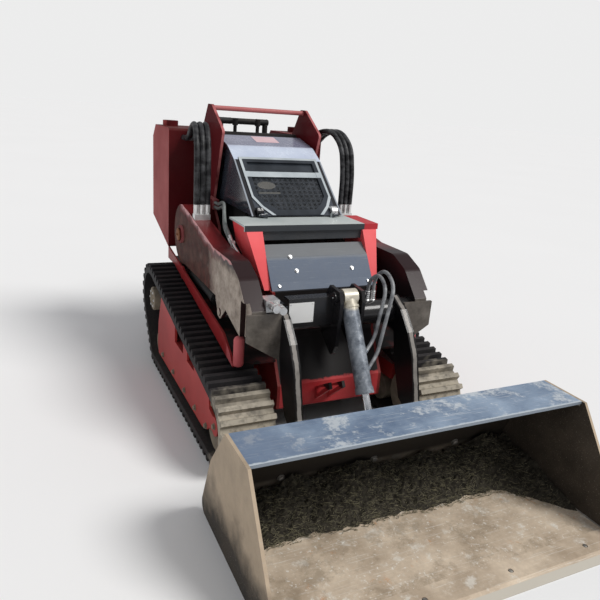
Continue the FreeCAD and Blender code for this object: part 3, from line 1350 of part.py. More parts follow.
def make_platform():
    half = PLATFORM_HALF
    y = L["platform_hinge_y"]
    z = L["platform_hinge_z"]
    rear = y + L["platform_length"]
    shapes = [box("platform_deck", (-half, half), (y + 24, rear), (z - 12, z + 4))]
    for side, name in SIDES:
        outline = [(y, z - 14), (rear, z - 14), (rear, z + 30), (y + 40, z + 30), (y, z + 14)]
        shapes.append(plate("platform_side_%s" % name, "x", across(side, half, half + L["platform_sheet"]),
                            outline, discs=[((y, z), 14)],
                            holes=[((y, z), L["platform_pin_radius"] + L["pin_gap"])]))
    finish("operator_platform", fuse("operator_platform", shapes))


make_chassis()
for side, name in SIDES:
    make_track(side, name)
    make_running_gear(side, name)
    make_arm(side, name)
    make_blade(side, name)
make_crossmember()
make_aux()
make_cylinders()
make_hood()
make_bucket()
make_platform()

doc.recompute()

for obj in doc.Objects:
    if "Invalid" in obj.State or "Error" in obj.State:
        raise RuntimeError("%s did not build: %s" % (obj.Name, obj.State))
os.makedirs("parts", exist_ok=True)
for obj in NODES:
    if obj.Shape.isNull() or not obj.Shape.isValid():
        raise RuntimeError("%s has no valid shape" % obj.Label)
    obj.Shape.exportStep("parts/%s.step" % obj.Label)
    print(obj.Label, len(obj.Shape.Solids), "solids", round(obj.Shape.Volume / 1e6, 2), "litres")
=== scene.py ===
# %% [markdown]
# A compact tracked loader, dressed for a studio picture. The solids carry the
# true shapes and places. These cells give them their paint, rubber, steel and
# dust, and add the small things that a solid model leaves out.

# %% Load the frame
import math

import bmesh
import bpy
import numpy as np
from mathutils import Matrix, Vector


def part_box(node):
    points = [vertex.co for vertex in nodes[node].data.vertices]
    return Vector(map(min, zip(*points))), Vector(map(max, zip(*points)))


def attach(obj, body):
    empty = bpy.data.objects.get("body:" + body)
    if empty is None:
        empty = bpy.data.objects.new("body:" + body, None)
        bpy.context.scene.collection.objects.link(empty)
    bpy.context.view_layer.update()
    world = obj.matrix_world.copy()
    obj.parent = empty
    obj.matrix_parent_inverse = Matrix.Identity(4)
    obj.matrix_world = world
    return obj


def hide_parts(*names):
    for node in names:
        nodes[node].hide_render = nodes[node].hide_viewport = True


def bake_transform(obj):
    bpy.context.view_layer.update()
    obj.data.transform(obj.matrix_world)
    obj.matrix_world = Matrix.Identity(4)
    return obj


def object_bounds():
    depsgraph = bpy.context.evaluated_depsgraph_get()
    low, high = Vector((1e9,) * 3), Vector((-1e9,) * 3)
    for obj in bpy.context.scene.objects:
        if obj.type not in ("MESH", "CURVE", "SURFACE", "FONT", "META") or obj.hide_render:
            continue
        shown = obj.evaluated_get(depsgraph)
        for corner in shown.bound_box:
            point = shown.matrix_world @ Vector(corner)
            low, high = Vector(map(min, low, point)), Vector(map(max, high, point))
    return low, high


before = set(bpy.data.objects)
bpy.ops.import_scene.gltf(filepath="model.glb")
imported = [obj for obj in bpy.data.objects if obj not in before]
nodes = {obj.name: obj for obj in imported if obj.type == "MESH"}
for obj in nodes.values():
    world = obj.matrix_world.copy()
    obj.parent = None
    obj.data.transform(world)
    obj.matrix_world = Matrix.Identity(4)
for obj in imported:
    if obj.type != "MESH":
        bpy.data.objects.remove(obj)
cad_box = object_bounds()
print("nodes", len(nodes), "span", cad_box)

# %% [markdown]
# The camera stands ahead of the machine, on its right side, about as high as
# its hood, and looks down a little. It could be placed by eye, but angles in
# numbers keep the view the same each time.

# %% Camera
FOCAL_PIXELS = 608.06
PICTURE_SIDE = 600
YAW, PITCH, ROLL = 0.458174, 0.312039, 0.075147
EYE = Vector((-1.10917, -2.25988, 1.27890))


def look(yaw, pitch, roll):
    """Right, up and forward. Forward is yaw round Z from +Y, tipped down by pitch."""
    level = math.cos(pitch)
    forward = Vector((math.sin(yaw) * level, math.cos(yaw) * level, -math.sin(pitch)))
    right = Vector((math.cos(yaw), -math.sin(yaw), 0))
    up = right.cross(forward)
    turned = right * math.cos(roll) + up * math.sin(roll)
    return turned, up * math.cos(roll) - right * math.sin(roll), forward


right, up, forward = look(YAW, PITCH, ROLL)
camera_data = bpy.data.cameras.new("camera")
camera_data.lens = FOCAL_PIXELS / PICTURE_SIDE * camera_data.sensor_width
camera = bpy.data.objects.new("camera", camera_data)
turn = Matrix((right, up, -forward)).transposed().to_4x4()
camera.matrix_world = Matrix.Translation(EYE) @ turn
bpy.context.collection.objects.link(camera)
bpy.context.scene.camera = camera
bpy.context.scene.view_settings.view_transform = "Standard"
print("lens", round(camera_data.lens, 2), "mm")

# %% [markdown]
# A finish on an old machine is not one colour. It is paint that has faded,
# dust that has settled on it, and chips. A painted image could hold all that,
# but noise that is worked out in space needs no image and no unwrapping, and
# it runs on over the joint between two pieces. A Layer is one such value or
# colour. Adding, multiplying and stretching layers adds the nodes for it.

# %% Layers of a finish
def add_node(tree, kind, **settings):
    node = tree.nodes.new(kind)
    for key, value in settings.items():
        setattr(node, key, value)
    return node


def link(source, socket):
    """Link a layer to an input, or set a plain number or colour there."""
    if isinstance(source, Layer):
        socket.id_data.links.new(source.socket, socket)
    else:
        socket.default_value = (*source, 1.0) if isinstance(source, tuple) else source


class Layer:
    """A value or colour that varies over a surface."""

    def __init__(self, socket):
        self.socket = socket

    def maths(self, operation, other=0.0):
        node = add_node(self.socket.id_data, "ShaderNodeMath", operation=operation)
        link(self, node.inputs[0])
        link(other, node.inputs[1])
        return Layer(node.outputs[0])

    def __add__(self, other):
        return self.maths("ADD", other)

    def __sub__(self, other):
        return self.maths("SUBTRACT", other)

    def __mul__(self, other):
        return self.maths("MULTIPLY", other)

    def __abs__(self):
        return self.maths("ABSOLUTE")

    def most(self, other):
        return self.maths("MAXIMUM", other)

    def least(self, other):
        return self.maths("MINIMUM", other)

    def span(self, low, high, start=0.0, end=1.0):
        """Stretch the part between low and high over start to end."""
        node = add_node(self.socket.id_data, "ShaderNodeMapRange", clamp=True)
        names = ("Value", "From Min", "From Max", "To Min", "To Max")
        for name, value in zip(names, (self, low, high, start, end)):
            link(value, node.inputs[name])
        return Layer(node.outputs["Result"])

    def between(self, low, high, soft):
        """One from low to high, and nothing beyond a soft border outside them."""
        return self.span(low - soft, low) * self.span(high + soft, high)


def mix(share, first, second):
    """The first colour where share is 0, the second where it is 1."""
    node = add_node(share.socket.id_data, "ShaderNodeMix", data_type="RGBA")
    for number, value in ((0, share), (6, first), (7, second)):
        link(value, node.inputs[number])
    return Layer(node.outputs[2])


# %% [markdown]
# A Finish is one material with its shader, and the sources that layers come
# from: the place on the machine, the way a face looks, and noise. Thin
# scratches are noise that is stretched fortyfold and then cut off high.

# %% A finish and its sources
class Finish:
    """A material, its shader's inputs, and the layers that can be laid in it."""

    def __init__(self, name, metal=0.0, coat=0.0, gloss=0.3):
        self.material = bpy.data.materials.new(name)
        self.material.use_nodes = True
        self.tree = self.material.node_tree
        self.inputs = self.tree.nodes["Principled BSDF"].inputs
        for key, value in (("Metallic", metal), ("Coat Weight", coat),
                           ("Coat Roughness", 0.12), ("Specular IOR Level", gloss)):
            link(value, self.inputs[key])

    def noise(self, scale, detail, stretch=(1, 1, 1), turn=(0, 0, 0), roughness=0.55):
        place = add_node(self.tree, "ShaderNodeTexCoord").outputs["Object"]
        mapping = add_node(self.tree, "ShaderNodeMapping")
        mapping.inputs["Scale"].default_value = stretch
        mapping.inputs["Rotation"].default_value = turn
        texture = add_node(self.tree, "ShaderNodeTexNoise")
        self.tree.links.new(place, mapping.inputs["Vector"])
        self.tree.links.new(mapping.outputs["Vector"], texture.inputs["Vector"])
        for key, value in (("Scale", scale), ("Detail", detail), ("Roughness", roughness)):
            link(value, texture.inputs[key])
        return Layer(texture.outputs["Fac"])

    def clouds(self, scale, detail, low=0.3, high=0.7, start=0.0, end=1.0, **shape):
        return self.noise(scale, detail, **shape).span(low, high, start, end)

    def scratches(self, turn_x, turn_z):
        return self.clouds(5, 3, 0.63, 0.69, stretch=(1, 40, 40), turn=(turn_x, 0, turn_z),
                           roughness=0.7)

    def ragged(self, value, scale, detail, reach):
        """A value that wanders by up to reach, so that borders drawn from it are ragged."""
        return value + self.clouds(scale, detail, start=-reach, end=reach)

    def along(self, axis, kind="Object"):
        """One coordinate of the place."""
        split = add_node(self.tree, "ShaderNodeSeparateXYZ")
        source = add_node(self.tree, "ShaderNodeTexCoord").outputs[kind]
        self.tree.links.new(source, split.inputs[0])
        return Layer(split.outputs["XYZ".index(axis)])

    def facing(self, axis):
        """One part of the direction that the face looks in."""
        return self.along(axis, "Normal")

    def side_facing(self):
        """Above zero where a face looks away from the machine's middle, below where it looks in."""
        return self.along("X").maths("SIGN") * self.facing("X")

    def colour(self, layer):
        self.shade = layer
        link(layer, self.inputs["Base Color"])

    def rough(self, layer):
        link(layer, self.inputs["Roughness"])

    def bump(self, height, strength, distance=0.001):
        node = add_node(self.tree, "ShaderNodeBump")
        for key, value in (("Strength", strength), ("Distance", distance), ("Height", height)):
            link(value, node.inputs[key])
        link(Layer(node.outputs["Normal"]), self.inputs["Normal"])


# %% [markdown]
# Dust lies thickest on what faces up and near the ground, and it comes in
# clouds. So its mask adds three parts: how far the surface faces up, how low
# it is, and noise.

# %% Dusty paint
DUST, DUST_HEIGHT = (0.27, 0.225, 0.17), 0.45


def dust_mask(skin, amount, facing, low):
    facing_up = skin.facing("Z").span(0.1, 1.0, 0.0, facing)
    near_ground = skin.along("Z").span(0.0, DUST_HEIGHT, low, 0.0)
    clouds = skin.clouds(9, 6, 0.32, 0.78, roughness=0.65)
    grain = skin.clouds(90, 4, 0.35, 0.75, 0.5, 1.2)
    return ((facing_up + near_ground + clouds * amount) * grain).least(1.0)


def paint(name, colour, faded, amount=0.12, rough=0.40, coat=0.04, dust=DUST, facing=0.08,
          low=0.1, gloss=0.14):
    """Faded, dusty paint. A special finish builds on its base, mask and dusty layers."""
    skin = Finish(name, coat=coat, gloss=gloss + 0.3 * coat)
    skin.base = mix(skin.clouds(3.5, 5, 0.35, 0.72), colour, faded)
    skin.mask = dust_mask(skin, amount, facing, low)
    skin.dusty = mix(skin.mask, skin.base, dust)
    skin.colour(skin.dusty)
    skin.rough(skin.mask.span(0.0, 0.7, rough, 0.75))
    skin.bump(skin.noise(160, 3), 0.06)
    return skin


# %% [markdown]
# The red sheets show a pale line along their cut edges. Paint wears there
# first, and the line is also a painted highlight where light catches. The edges
# of an upright sheet are the faces that do not look sideways, so the sideways
# part of the facing direction picks them.

# %% Red paint
def sheet_finish():
    """Paint on a sheet that stands along the machine, with worn edges."""
    skin = paint("maroon_sheet", (0.085, 0.005, 0.008), (0.13, 0.010, 0.014), amount=0.02, low=0.0,
                 facing=0.02, gloss=0.03, rough=0.6)
    # The pale edge line is worn paint and also a painted highlight.
    wear_and_highlight = abs(skin.facing("X")).span(0.75, 0.6) * skin.clouds(14, 4, 0.25, 0.6)
    skin.colour(mix(wear_and_highlight, skin.dusty, (0.46, 0.15, 0.15)))
    return skin


maroon_sheet = sheet_finish()
track_frame_red = paint("track_frame_red", (0.36, 0.012, 0.014), (0.50, 0.04, 0.04), amount=0.07,
                        facing=0.03, low=0.14)
bar_red = paint("bar_red", (0.40, 0.10, 0.10), (0.50, 0.17, 0.17), amount=0.05, low=0.0)
# The fender noses' bright pink-red is a painted highlight on the same red paint.
nose_pink = paint("nose_pink", (0.56, 0.09, 0.10), (0.68, 0.19, 0.20), amount=0.03, low=0.0)
chassis_red = paint("chassis_red", (0.16, 0.007, 0.009), (0.23, 0.016, 0.018))
# The front posts are painted a much brighter red than the other red parts: painted light on faces
# that meet the sun.
post_red = paint("post_red", (0.76, 0.055, 0.065), (0.88, 0.13, 0.14), amount=0.03, facing=0.03,
                 low=0.0)

# %% [markdown]
# Two red parts are painted dark in places, as painted shade. The fender's
# floor under the arm carries the arm's shadow, painted near black in clouds.
# The front wall above the nose plate sits in a deep recess, and it and the face
# under the nose's lip are painted black as shade. Each has its own mask, drawn
# from the place.

# %% Red with painted shade
PAINTED_SHADE = (0.014, 0.012, 0.012)
FENDER_FLOOR = 0.392
FENDER_FRONT = -0.225
NOSE_TOP, NOSE_LIP = 0.252, 0.150


def fender_finish():
    skin = paint("fender_red", (0.25, 0.009, 0.013), (0.34, 0.022, 0.026), low=0.05)
    # The fender's floor under the arm gets the arm's shadow, painted near black in clouds.
    inside = abs(skin.along("X")).span(FENDER_FLOOR + 0.006, FENDER_FLOOR)
    arm_shadow = inside * skin.clouds(18, 5, 0.25, 0.5, 0.75, 1.0)
    # The outer faces of the fender's front end are painted pale red: a painted highlight.
    front = skin.along("Y").span(FENDER_FRONT, FENDER_FRONT - 0.02)
    outer = front * skin.side_facing().span(0.5, 0.7)
    skin.colour(mix(arm_shadow, mix(outer, skin.dusty, (0.52, 0.11, 0.12)), PAINTED_SHADE))
    return skin


def nose_finish():
    skin = paint("nose_red", (0.40, 0.014, 0.022), (0.60, 0.055, 0.065), amount=0.14, low=0.08)
    height = skin.along("Z")
    # Above the nose plate and under its lip, the red is painted near black: painted shade of the
    # recess.
    above = skin.ragged(height, 25, 4, 0.006).span(NOSE_TOP, NOSE_TOP + 0.006)
    under = height.span(NOSE_LIP + 0.004, NOSE_LIP - 0.004)
    skin.colour(mix(above.most(under), skin.dusty, PAINTED_SHADE))
    return skin


fender_red, nose_red = fender_finish(), nose_finish()

# %% [markdown]
# The two towers are dark on their front faces and lighter on their outer
# sides, which stand in open light. Both are painted in: the front faces keep a
# dark red that is partly painted shade, and the outer sides get a paler red
# that is painted light.

# %% Towers
def tower_finish():
    skin = paint("tower_red", (0.066, 0.005, 0.007), (0.10, 0.009, 0.011), amount=0.03, low=0.0,
                 gloss=0.05, rough=0.55)
    # The dark base red on the front faces is partly painted shade. The paler red on the outer sides
    # is painted light.
    pale = mix(skin.clouds(6, 4, 0.35, 0.7), (0.27, 0.035, 0.036), (0.36, 0.075, 0.075))
    outer = skin.side_facing().span(0.6, 0.75)
    skin.colour(mix(skin.mask, mix(outer, skin.base, pale), DUST))
    return skin


tower_red = tower_finish()

# %% [markdown]
# The hood is deep blue-grey gloss with a clear coat, so it carries the pale
# room around it. Metal flakes could be added, but a smooth coat over a dark
# base already gives the same broad, soft reflections. Over that, a reflection
# of the sky is painted in: pale blue above the grille and duller blue-grey on
# the roof. Beside the grille, a black strip is painted shade in the gap, and
# the pale corners are painted highlights.

# %% Paint of the hood
HOOD_SLOPE = math.radians(38.9)
HOOD_FOOT = (0.062, 0.824)
STRIP_INNER, STRIP_OUTER, STRIP_TOP = 0.188, 0.205, 0.325
ROOF_FROM = 0.415


def slope_place(skin):
    """How far a place lies up the slope of the hood's front, and how far out from that slope."""
    back, height = skin.along("Y"), skin.along("Z")
    cosine, sine = math.cos(HOOD_SLOPE), math.sin(HOOD_SLOPE)
    foot_up = HOOD_FOOT[0] * cosine + HOOD_FOOT[1] * sine
    foot_out = HOOD_FOOT[1] * cosine - HOOD_FOOT[0] * sine
    return back * cosine + height * sine - foot_up, height * cosine - back * sine - foot_out


def hood_finish():
    skin = paint("hood_gloss", (0.022, 0.028, 0.040), (0.045, 0.054, 0.072), amount=0.08, rough=0.2,
                 coat=0.6, dust=(0.20, 0.21, 0.23), low=0.0)
    up_slope, out = slope_place(skin)
    sideways = abs(skin.along("X"))
    clouds = skin.clouds(9, 5)
    # band and roof are a painted reflection of the sky.
    band = mix(clouds, (0.46, 0.52, 0.66), (0.62, 0.68, 0.80))
    roof = mix(clouds, (0.16, 0.17, 0.25), (0.26, 0.27, 0.36))
    top = mix(skin.along("Y").span(ROOF_FROM - 0.004, ROOF_FROM + 0.004), band, roof)
    above = skin.facing("Z").span(0.5, 0.7) * up_slope.span(STRIP_TOP - 0.008, STRIP_TOP - 0.004)
    beside = out.span(-0.002, -0.0005) * up_slope.span(STRIP_TOP, STRIP_TOP - 0.001)
    # The black strip is painted shade in the gap beside the grille. The pale corner is a painted
    # highlight.
    strip = beside * sideways.between(STRIP_INNER, STRIP_OUTER, 0.001)
    corner = beside * sideways.span(STRIP_OUTER, STRIP_OUTER + 0.001)
    colour = mix(strip, mix(above, skin.dusty, top), (0.006, 0.006, 0.008))
    skin.colour(mix(corner, colour, (0.30, 0.33, 0.37)))
    return skin


hood_gloss = hood_finish()

# %% [markdown]
# The other sheet metal is black, in three sheens. The ledge under the hood is
# pale on top, its front edge is painted dark as shade, and it is red at the end
# that the left post holds. The blades carry a thin pale stripe down their front
# edges, a painted highlight.

# %% Black paint, ledge and blades
LEDGE_RED_FROM = 0.234
BLADE_STRIPE = (0.240, 0.254)

black_gloss = paint("black_gloss", (0.006, 0.006, 0.008), (0.014, 0.014, 0.016), amount=0.05,
                    rough=0.25, coat=0.3, facing=0.02, low=0.03)
black_satin = paint("black_satin", (0.008, 0.008, 0.009), (0.018, 0.018, 0.020), amount=0.08,
                    rough=0.5, coat=0.0, facing=0.03, low=0.05)
plain_black = paint("black_plastic", (0.012, 0.012, 0.013), (0.022, 0.022, 0.024), amount=0.08,
                    rough=0.55, coat=0.0, low=0.0)
crossbar_paint = paint("crossbar_paint", (0.030, 0.034, 0.040), (0.06, 0.065, 0.072), amount=0.10,
                       rough=0.45)


def ledge_finish():
    skin = paint("ledge_paint", (0.40, 0.45, 0.45), (0.62, 0.66, 0.65), amount=0.15, rough=0.45,
                 facing=0.05, low=0.0)
    # The ledge's dark front face is painted shade.
    shaded = mix(skin.facing("Y").span(-0.4, -0.6), skin.dusty, (0.045, 0.05, 0.056))
    end = skin.along("X").span(LEDGE_RED_FROM, LEDGE_RED_FROM + 0.002)
    skin.colour(mix(end, shaded, (0.50, 0.035, 0.045)))
    return skin


def blade_finish():
    skin = paint("blade_black", (0.004, 0.004, 0.005), (0.010, 0.010, 0.012), amount=0.03,
                 rough=0.3, coat=0.1, facing=0.02, low=0.06)
    # The pale stripe down the blades' front edges is a painted highlight.
    stripe = skin.ragged(abs(skin.along("X")), 35, 4, 0.002).between(*BLADE_STRIPE, 0.002)
    forward = skin.facing("Y").span(-0.3, -0.5)
    wear_and_highlight = forward * stripe * skin.clouds(20, 4, 0.2, 0.5, 0.5, 1.0)
    skin.colour(mix(wear_and_highlight, skin.dusty, (0.27, 0.25, 0.23)))
    return skin


ledge_paint, blade_black = ledge_finish(), blade_finish()

# %% [markdown]
# The arms were dark red. Their top still is, with a pale line along the outer
# edge that is a painted highlight. Their outer sides wear a dry film of mud:
# darker and redder at the round rear end, tan towards the front. Their inner
# sides are painted near black as shade. Masks for facing sideways and for the
# distance under the upper edge keep them apart.

# %% Paint of the arms
ARM_EDGE_HEIGHT, ARM_EDGE_RISE = 0.712, 0.19
LINK_PLATE_BACK = -0.394


def arm_finish():
    skin = paint("arm_paint", (0.12, 0.005, 0.009), (0.19, 0.014, 0.018), amount=0.06, facing=0.03,
                 low=0.0)
    back, facing = skin.along("Y"), skin.side_facing()
    depth = back.most(0.0) * ARM_EDGE_RISE + ARM_EDGE_HEIGHT - skin.along("Z")
    under_edge = skin.ragged(depth, 20, 5, 0.012)
    outer = facing.span(0.6, 0.75)
    cover = outer * under_edge.span(0.018, 0.045) * skin.clouds(30, 6, 0.3, 0.5, 0.6, 1.0,
                                                               roughness=0.7)
    clouds = skin.clouds(16, 7, 0.35, 0.68, roughness=0.7)
    rear_mud = mix(clouds, (0.035, 0.014, 0.012), (0.12, 0.055, 0.042))
    front_mud = mix(clouds, (0.29, 0.24, 0.20), (0.56, 0.48, 0.41))
    link_mud = mix(clouds, (0.085, 0.074, 0.064), (0.18, 0.16, 0.14))
    mud = mix(skin.ragged(back, 7, 5, 0.10).span(0.12, -0.10), rear_mud, front_mud)
    top = mix(back.span(0.05, -0.15), skin.dusty, (0.022, 0.010, 0.011))
    # Faces that look to the middle are painted near black: painted shade.
    colour = mix(facing.span(-0.5, -0.7) * 0.92, mix(cover, top, mud), (0.010, 0.009, 0.010))
    colour = mix(back.span(LINK_PLATE_BACK + 0.001, LINK_PLATE_BACK - 0.001), colour, link_mud)
    # The pale line just under the upper edge is a painted highlight.
    skin.colour(mix(outer * under_edge.span(0.014, 0.008), colour, (0.54, 0.22, 0.22)))
    skin.rough(cover.span(0.0, 0.6, 0.35, 0.8))
    return skin


arm_paint = arm_finish()

# %% [markdown]
# The front cover and the bucket's lip are bare steel, blue-grey from the mill
# and from handling, with scratches in every direction and rubbed bright
# patches. The lip's stronger blue is partly a painted reflection of the sky. A
# steel grey that varies in clouds comes first, then three sets of scratches at
# different angles, then the patches and the dust.

# %% Worn steel
def steel(name, dark, light, bright, patch_low, rough, metal, scratch, dust):
    skin = Finish(name, metal=metal)
    clouds = skin.clouds(6, 7, 0.3, 0.72, roughness=0.65)
    lines = skin.scratches(0, 0.35).most(skin.scratches(0.4, 1.2)).most(skin.scratches(0.9, -0.6))
    patches = skin.clouds(11, 6, patch_low, patch_low + 0.08, roughness=0.75)
    marked = mix((lines * scratch).most(patches * 0.7), mix(clouds, dark, light), bright)
    skin.colour(mix(dust_mask(skin, dust, 0.08, 0.1), marked, DUST))
    skin.rough(clouds.span(0.0, 1.0, rough, rough + 0.18))
    skin.bump(lines + skin.noise(60, 4), 0.12)
    return skin


def cover_finish():
    """Blue-grey steel that is dusty along its top."""
    skin = steel("cover_steel", (0.048, 0.070, 0.11), (0.105, 0.135, 0.19), (0.28, 0.31, 0.34),
                 patch_low=0.66, rough=0.45, metal=0.15, scratch=0.35, dust=0.05)
    top = skin.along("Z").span(0.690, 0.705) * 0.6
    skin.colour(mix(top, skin.shade, (0.22, 0.22, 0.21)))
    return skin


cover_steel = cover_finish()
edge_steel = steel("edge_steel", (0.20, 0.19, 0.18), (0.34, 0.32, 0.29), (0.52, 0.50, 0.46),
                   patch_low=0.58, rough=0.3, metal=0.35, scratch=0.8, dust=0.1)

# %% [markdown]
# The bucket is the same steel in other tones. The lip is blue, partly as a
# painted reflection of the sky, and darker at one end. Its bright front edge is
# worn steel with a painted highlight. The floor is tan with rust stains and
# dried mud, and its back wall is painted dark as the lip's shadow. The cutting
# edge has a paler bevel.

# %% Steel of the bucket
LIP_EDGE, BEVEL_EDGE = -1.001, -1.280
FLOOR_TONES = ((0.44, 0.34, 0.245), (0.84, 0.70, 0.54), (0.86, 0.82, 0.74))


def lip_finish():
    # The lip's blue is partly a painted reflection of the sky.
    skin = steel("lip_steel", (0.12, 0.19, 0.31), (0.40, 0.51, 0.65), (0.74, 0.78, 0.80),
                 patch_low=0.54, rough=0.38, metal=0.3, scratch=0.55, dust=0.03)
    end = skin.ragged(skin.along("X"), 8, 4, 0.1).span(-0.52, -0.30)
    darker = mix(end.span(0.0, 1.0, 0.45, 1.0), (0.07, 0.11, 0.20), skin.shade)
    # The bright front edge and the paler front face are a painted highlight over worn steel.
    edge = skin.ragged(skin.along("Y"), 45, 4, 0.003).span(LIP_EDGE + 0.002, LIP_EDGE - 0.001)
    bright = mix(edge, darker, (0.55, 0.61, 0.66))
    skin.colour(mix(skin.facing("Y").span(-0.6, -0.8), bright, (0.24, 0.28, 0.33)))
    return skin


def floor_steel_finish():
    skin = steel("floor_steel", *FLOOR_TONES, patch_low=0.56, rough=0.55, metal=0.05, scratch=0.6,
                 dust=0.05)
    mud = skin.clouds(7, 9, 0.49, 0.60, roughness=0.8)
    rust = skin.clouds(13, 7, 0.60, 0.68, roughness=0.8)
    specks = skin.clouds(75, 4, 0.60, 0.66, roughness=0.7)
    stained = mix(mud * 0.6, skin.shade, (0.30, 0.235, 0.165))
    stained = mix(rust * 0.7, stained, (0.58, 0.28, 0.12))
    stained = mix(specks * 0.6, stained, (0.88, 0.86, 0.80))
    # Above the floor, the back wall is painted near black: the lip's painted shadow.
    skin.colour(mix(skin.along("Z").span(0.03, 0.10), stained, (0.034, 0.028, 0.022)))
    return skin


def cutting_edge_finish():
    skin = steel("cutting_edge_steel", *FLOOR_TONES, patch_low=0.56, rough=0.5, metal=0.1,
                 scratch=0.6, dust=0.05)
    bevel = skin.along("Y").span(BEVEL_EDGE + 0.002, BEVEL_EDGE)
    skin.colour(mix(bevel, skin.shade, (0.50, 0.465, 0.40)))
    return skin


lip_steel, floor_steel, edge_blend = lip_finish(), floor_steel_finish(), cutting_edge_finish()

# %% [markdown]
# The bucket's side plates are grey under a film of dried clay. Their lower
# part is painted much darker, with a soft and ragged border, as painted shade
# from the shadowed ground. Their inner faces are painted dark as shade too.

# %% Side plates of the bucket
def side_plate_finish():
    skin = Finish("side_plate", metal=0.15)
    clouds = skin.clouds(7, 7, roughness=0.65)
    upper = mix(clouds, (0.34, 0.265, 0.185), (0.54, 0.43, 0.315))
    # lower and inside hold painted shade: the lower part and the inner faces are darkened as shaded.
    lower = mix(clouds, (0.028, 0.023, 0.018), (0.09, 0.072, 0.055))
    inside = mix(clouds, (0.032, 0.026, 0.020), (0.09, 0.072, 0.055))
    outside = mix(skin.ragged(skin.along("Z"), 10, 5, 0.06).span(0.19, 0.05), upper, lower)
    base = mix(skin.side_facing().span(-0.4, -0.6), outside, inside)
    lines = skin.scratches(0.6, 1.57).most(skin.scratches(-0.3, 1.57))
    skin.colour(mix(lines * 0.35, base, (0.42, 0.39, 0.34)))
    skin.rough(clouds.span(0, 1, 0.55, 0.8))
    skin.bump(skin.noise(70, 5), 0.15)
    return skin


side_plate = side_plate_finish()

# %% [markdown]
# Track rubber is nearly black, but dust lies in the grooves and on the lugs
# at the front, where the sun has dried it to beige. The hoses wear a woven
# black sleeve with fine crossed ribs and broad creases, whose shine is painted
# into the colour as pale highlights.

# %% Rubber and hose sleeve
def rubber_finish():
    skin = paint("track_rubber", (0.009, 0.009, 0.012), (0.020, 0.019, 0.022), amount=0.10,
                 rough=0.6, coat=0.0, dust=(0.20, 0.175, 0.145), facing=0.02, low=0.12)
    front = skin.ragged(skin.along("Y"), 12, 4, 0.05).span(-0.40, -0.50)
    beige = front * skin.clouds(40, 4, 0.25, 0.5, 0.3, 0.9)
    skin.colour(mix(beige, skin.dusty, (0.46, 0.41, 0.33)))
    skin.bump(skin.noise(120, 4), 0.3)
    return skin


def sleeve_finish():
    skin = Finish("hose_sleeve")
    creases = skin.noise(20, 4, stretch=(1, 1, 1.8), roughness=0.65)
    # The pale colour on the creases is a painted highlight.
    skin.colour(mix(creases.span(0.42, 0.68), (0.004, 0.004, 0.005), (0.065, 0.066, 0.07)))
    skin.rough(0.42)
    skin.bump(creases + skin.noise(420, 2) * 0.2, 0.9, 0.004)
    return skin


track_rubber, hose_sleeve = rubber_finish(), sleeve_finish()

# %% [markdown]
# Rods, fittings, pins and castings are plain metal, and the thin grey hoses
# differ from it only in their numbers. Each is a cloud between two tones, with
# a sheen that varies a little.

# %% Rods and small metal
def bare_metal(name, colour, lighter, rough, metal=1.0):
    skin = Finish(name, metal=metal)
    skin.colour(mix(skin.clouds(24, 5, roughness=0.6), colour, lighter))
    skin.rough(skin.clouds(50, 4, start=rough, end=rough + 0.2))
    return skin


chrome = bare_metal("chrome_rod", (0.62, 0.63, 0.65), (0.75, 0.76, 0.78), 0.12)
silver = bare_metal("silver_fittings", (0.60, 0.60, 0.60), (0.80, 0.80, 0.79), 0.28, 0.8)
bright_steel = bare_metal("bright_steel", (0.50, 0.50, 0.50), (0.68, 0.68, 0.67), 0.3, 0.8)
brass = bare_metal("brass_cap", (0.62, 0.38, 0.10), (0.75, 0.52, 0.18), 0.3)
cast_iron = bare_metal("cast_iron", (0.05, 0.05, 0.05), (0.11, 0.11, 0.11), 0.6, 0.4)
dusty_steel = bare_metal("dusty_steel", (0.19, 0.16, 0.125), (0.33, 0.28, 0.21), 0.7, 0.2)
grey_hose = bare_metal("grey_hose", (0.13, 0.145, 0.14), (0.27, 0.29, 0.28), 0.4, 0.0)
# The tilt hoses are painted dark to pale grey in clouds.
tilt_hose_grey = bare_metal("braided_hose", (0.10, 0.10, 0.11), (0.42, 0.43, 0.44), 0.35, 0.2)

# %% [markdown]
# The lift cylinders are black. The tilt cylinder in front is a mottled grey
# tube whose upper eye is cream, so its colour changes at a height.

# %% Tilt cylinder
CREAM_ABOVE = 0.575


def barrel_finish():
    skin = Finish("tilt_barrel_paint", metal=0.3, coat=0.2)
    clouds = skin.clouds(30, 6, 0.35, 0.65, roughness=0.7)
    grey = mix(clouds, (0.085, 0.10, 0.125), (0.33, 0.36, 0.40))
    wear_and_highlight = mix(skin.clouds(60, 5, 0.62, 0.68, roughness=0.8), grey, (0.60, 0.60, 0.58))
    cream = mix(clouds, (0.48, 0.44, 0.35), (0.66, 0.62, 0.53))
    skin.colour(mix(skin.along("Z").span(CREAM_ABOVE, CREAM_ABOVE + 0.01), wear_and_highlight, cream))
    skin.rough(clouds.span(0, 1, 0.3, 0.55))
    return skin


tilt_barrel_paint = barrel_finish()

# %% [markdown]
# The hood's front opening has a silver rim, a pale cross bar and a dark mesh.
# They are one solid, so the finish follows the place on the slope. The rim is
# what lies within 12 mm of the outline, and each line of RIM_LINES is one side
# of that outline: a direction to the inside and where the side starts.

# %% Grille
BAR_LOW, BAR_HIGH = 0.219, 0.250
RIM_OUT, RIM_WIDTH = 0.003, 0.012
RIM_LINES = ((-1.0, 0.0, -0.190), (0.0, -1.0, -0.336), (-0.887, 0.4625, -0.1197),
             (-0.743, 0.669, -0.0878))


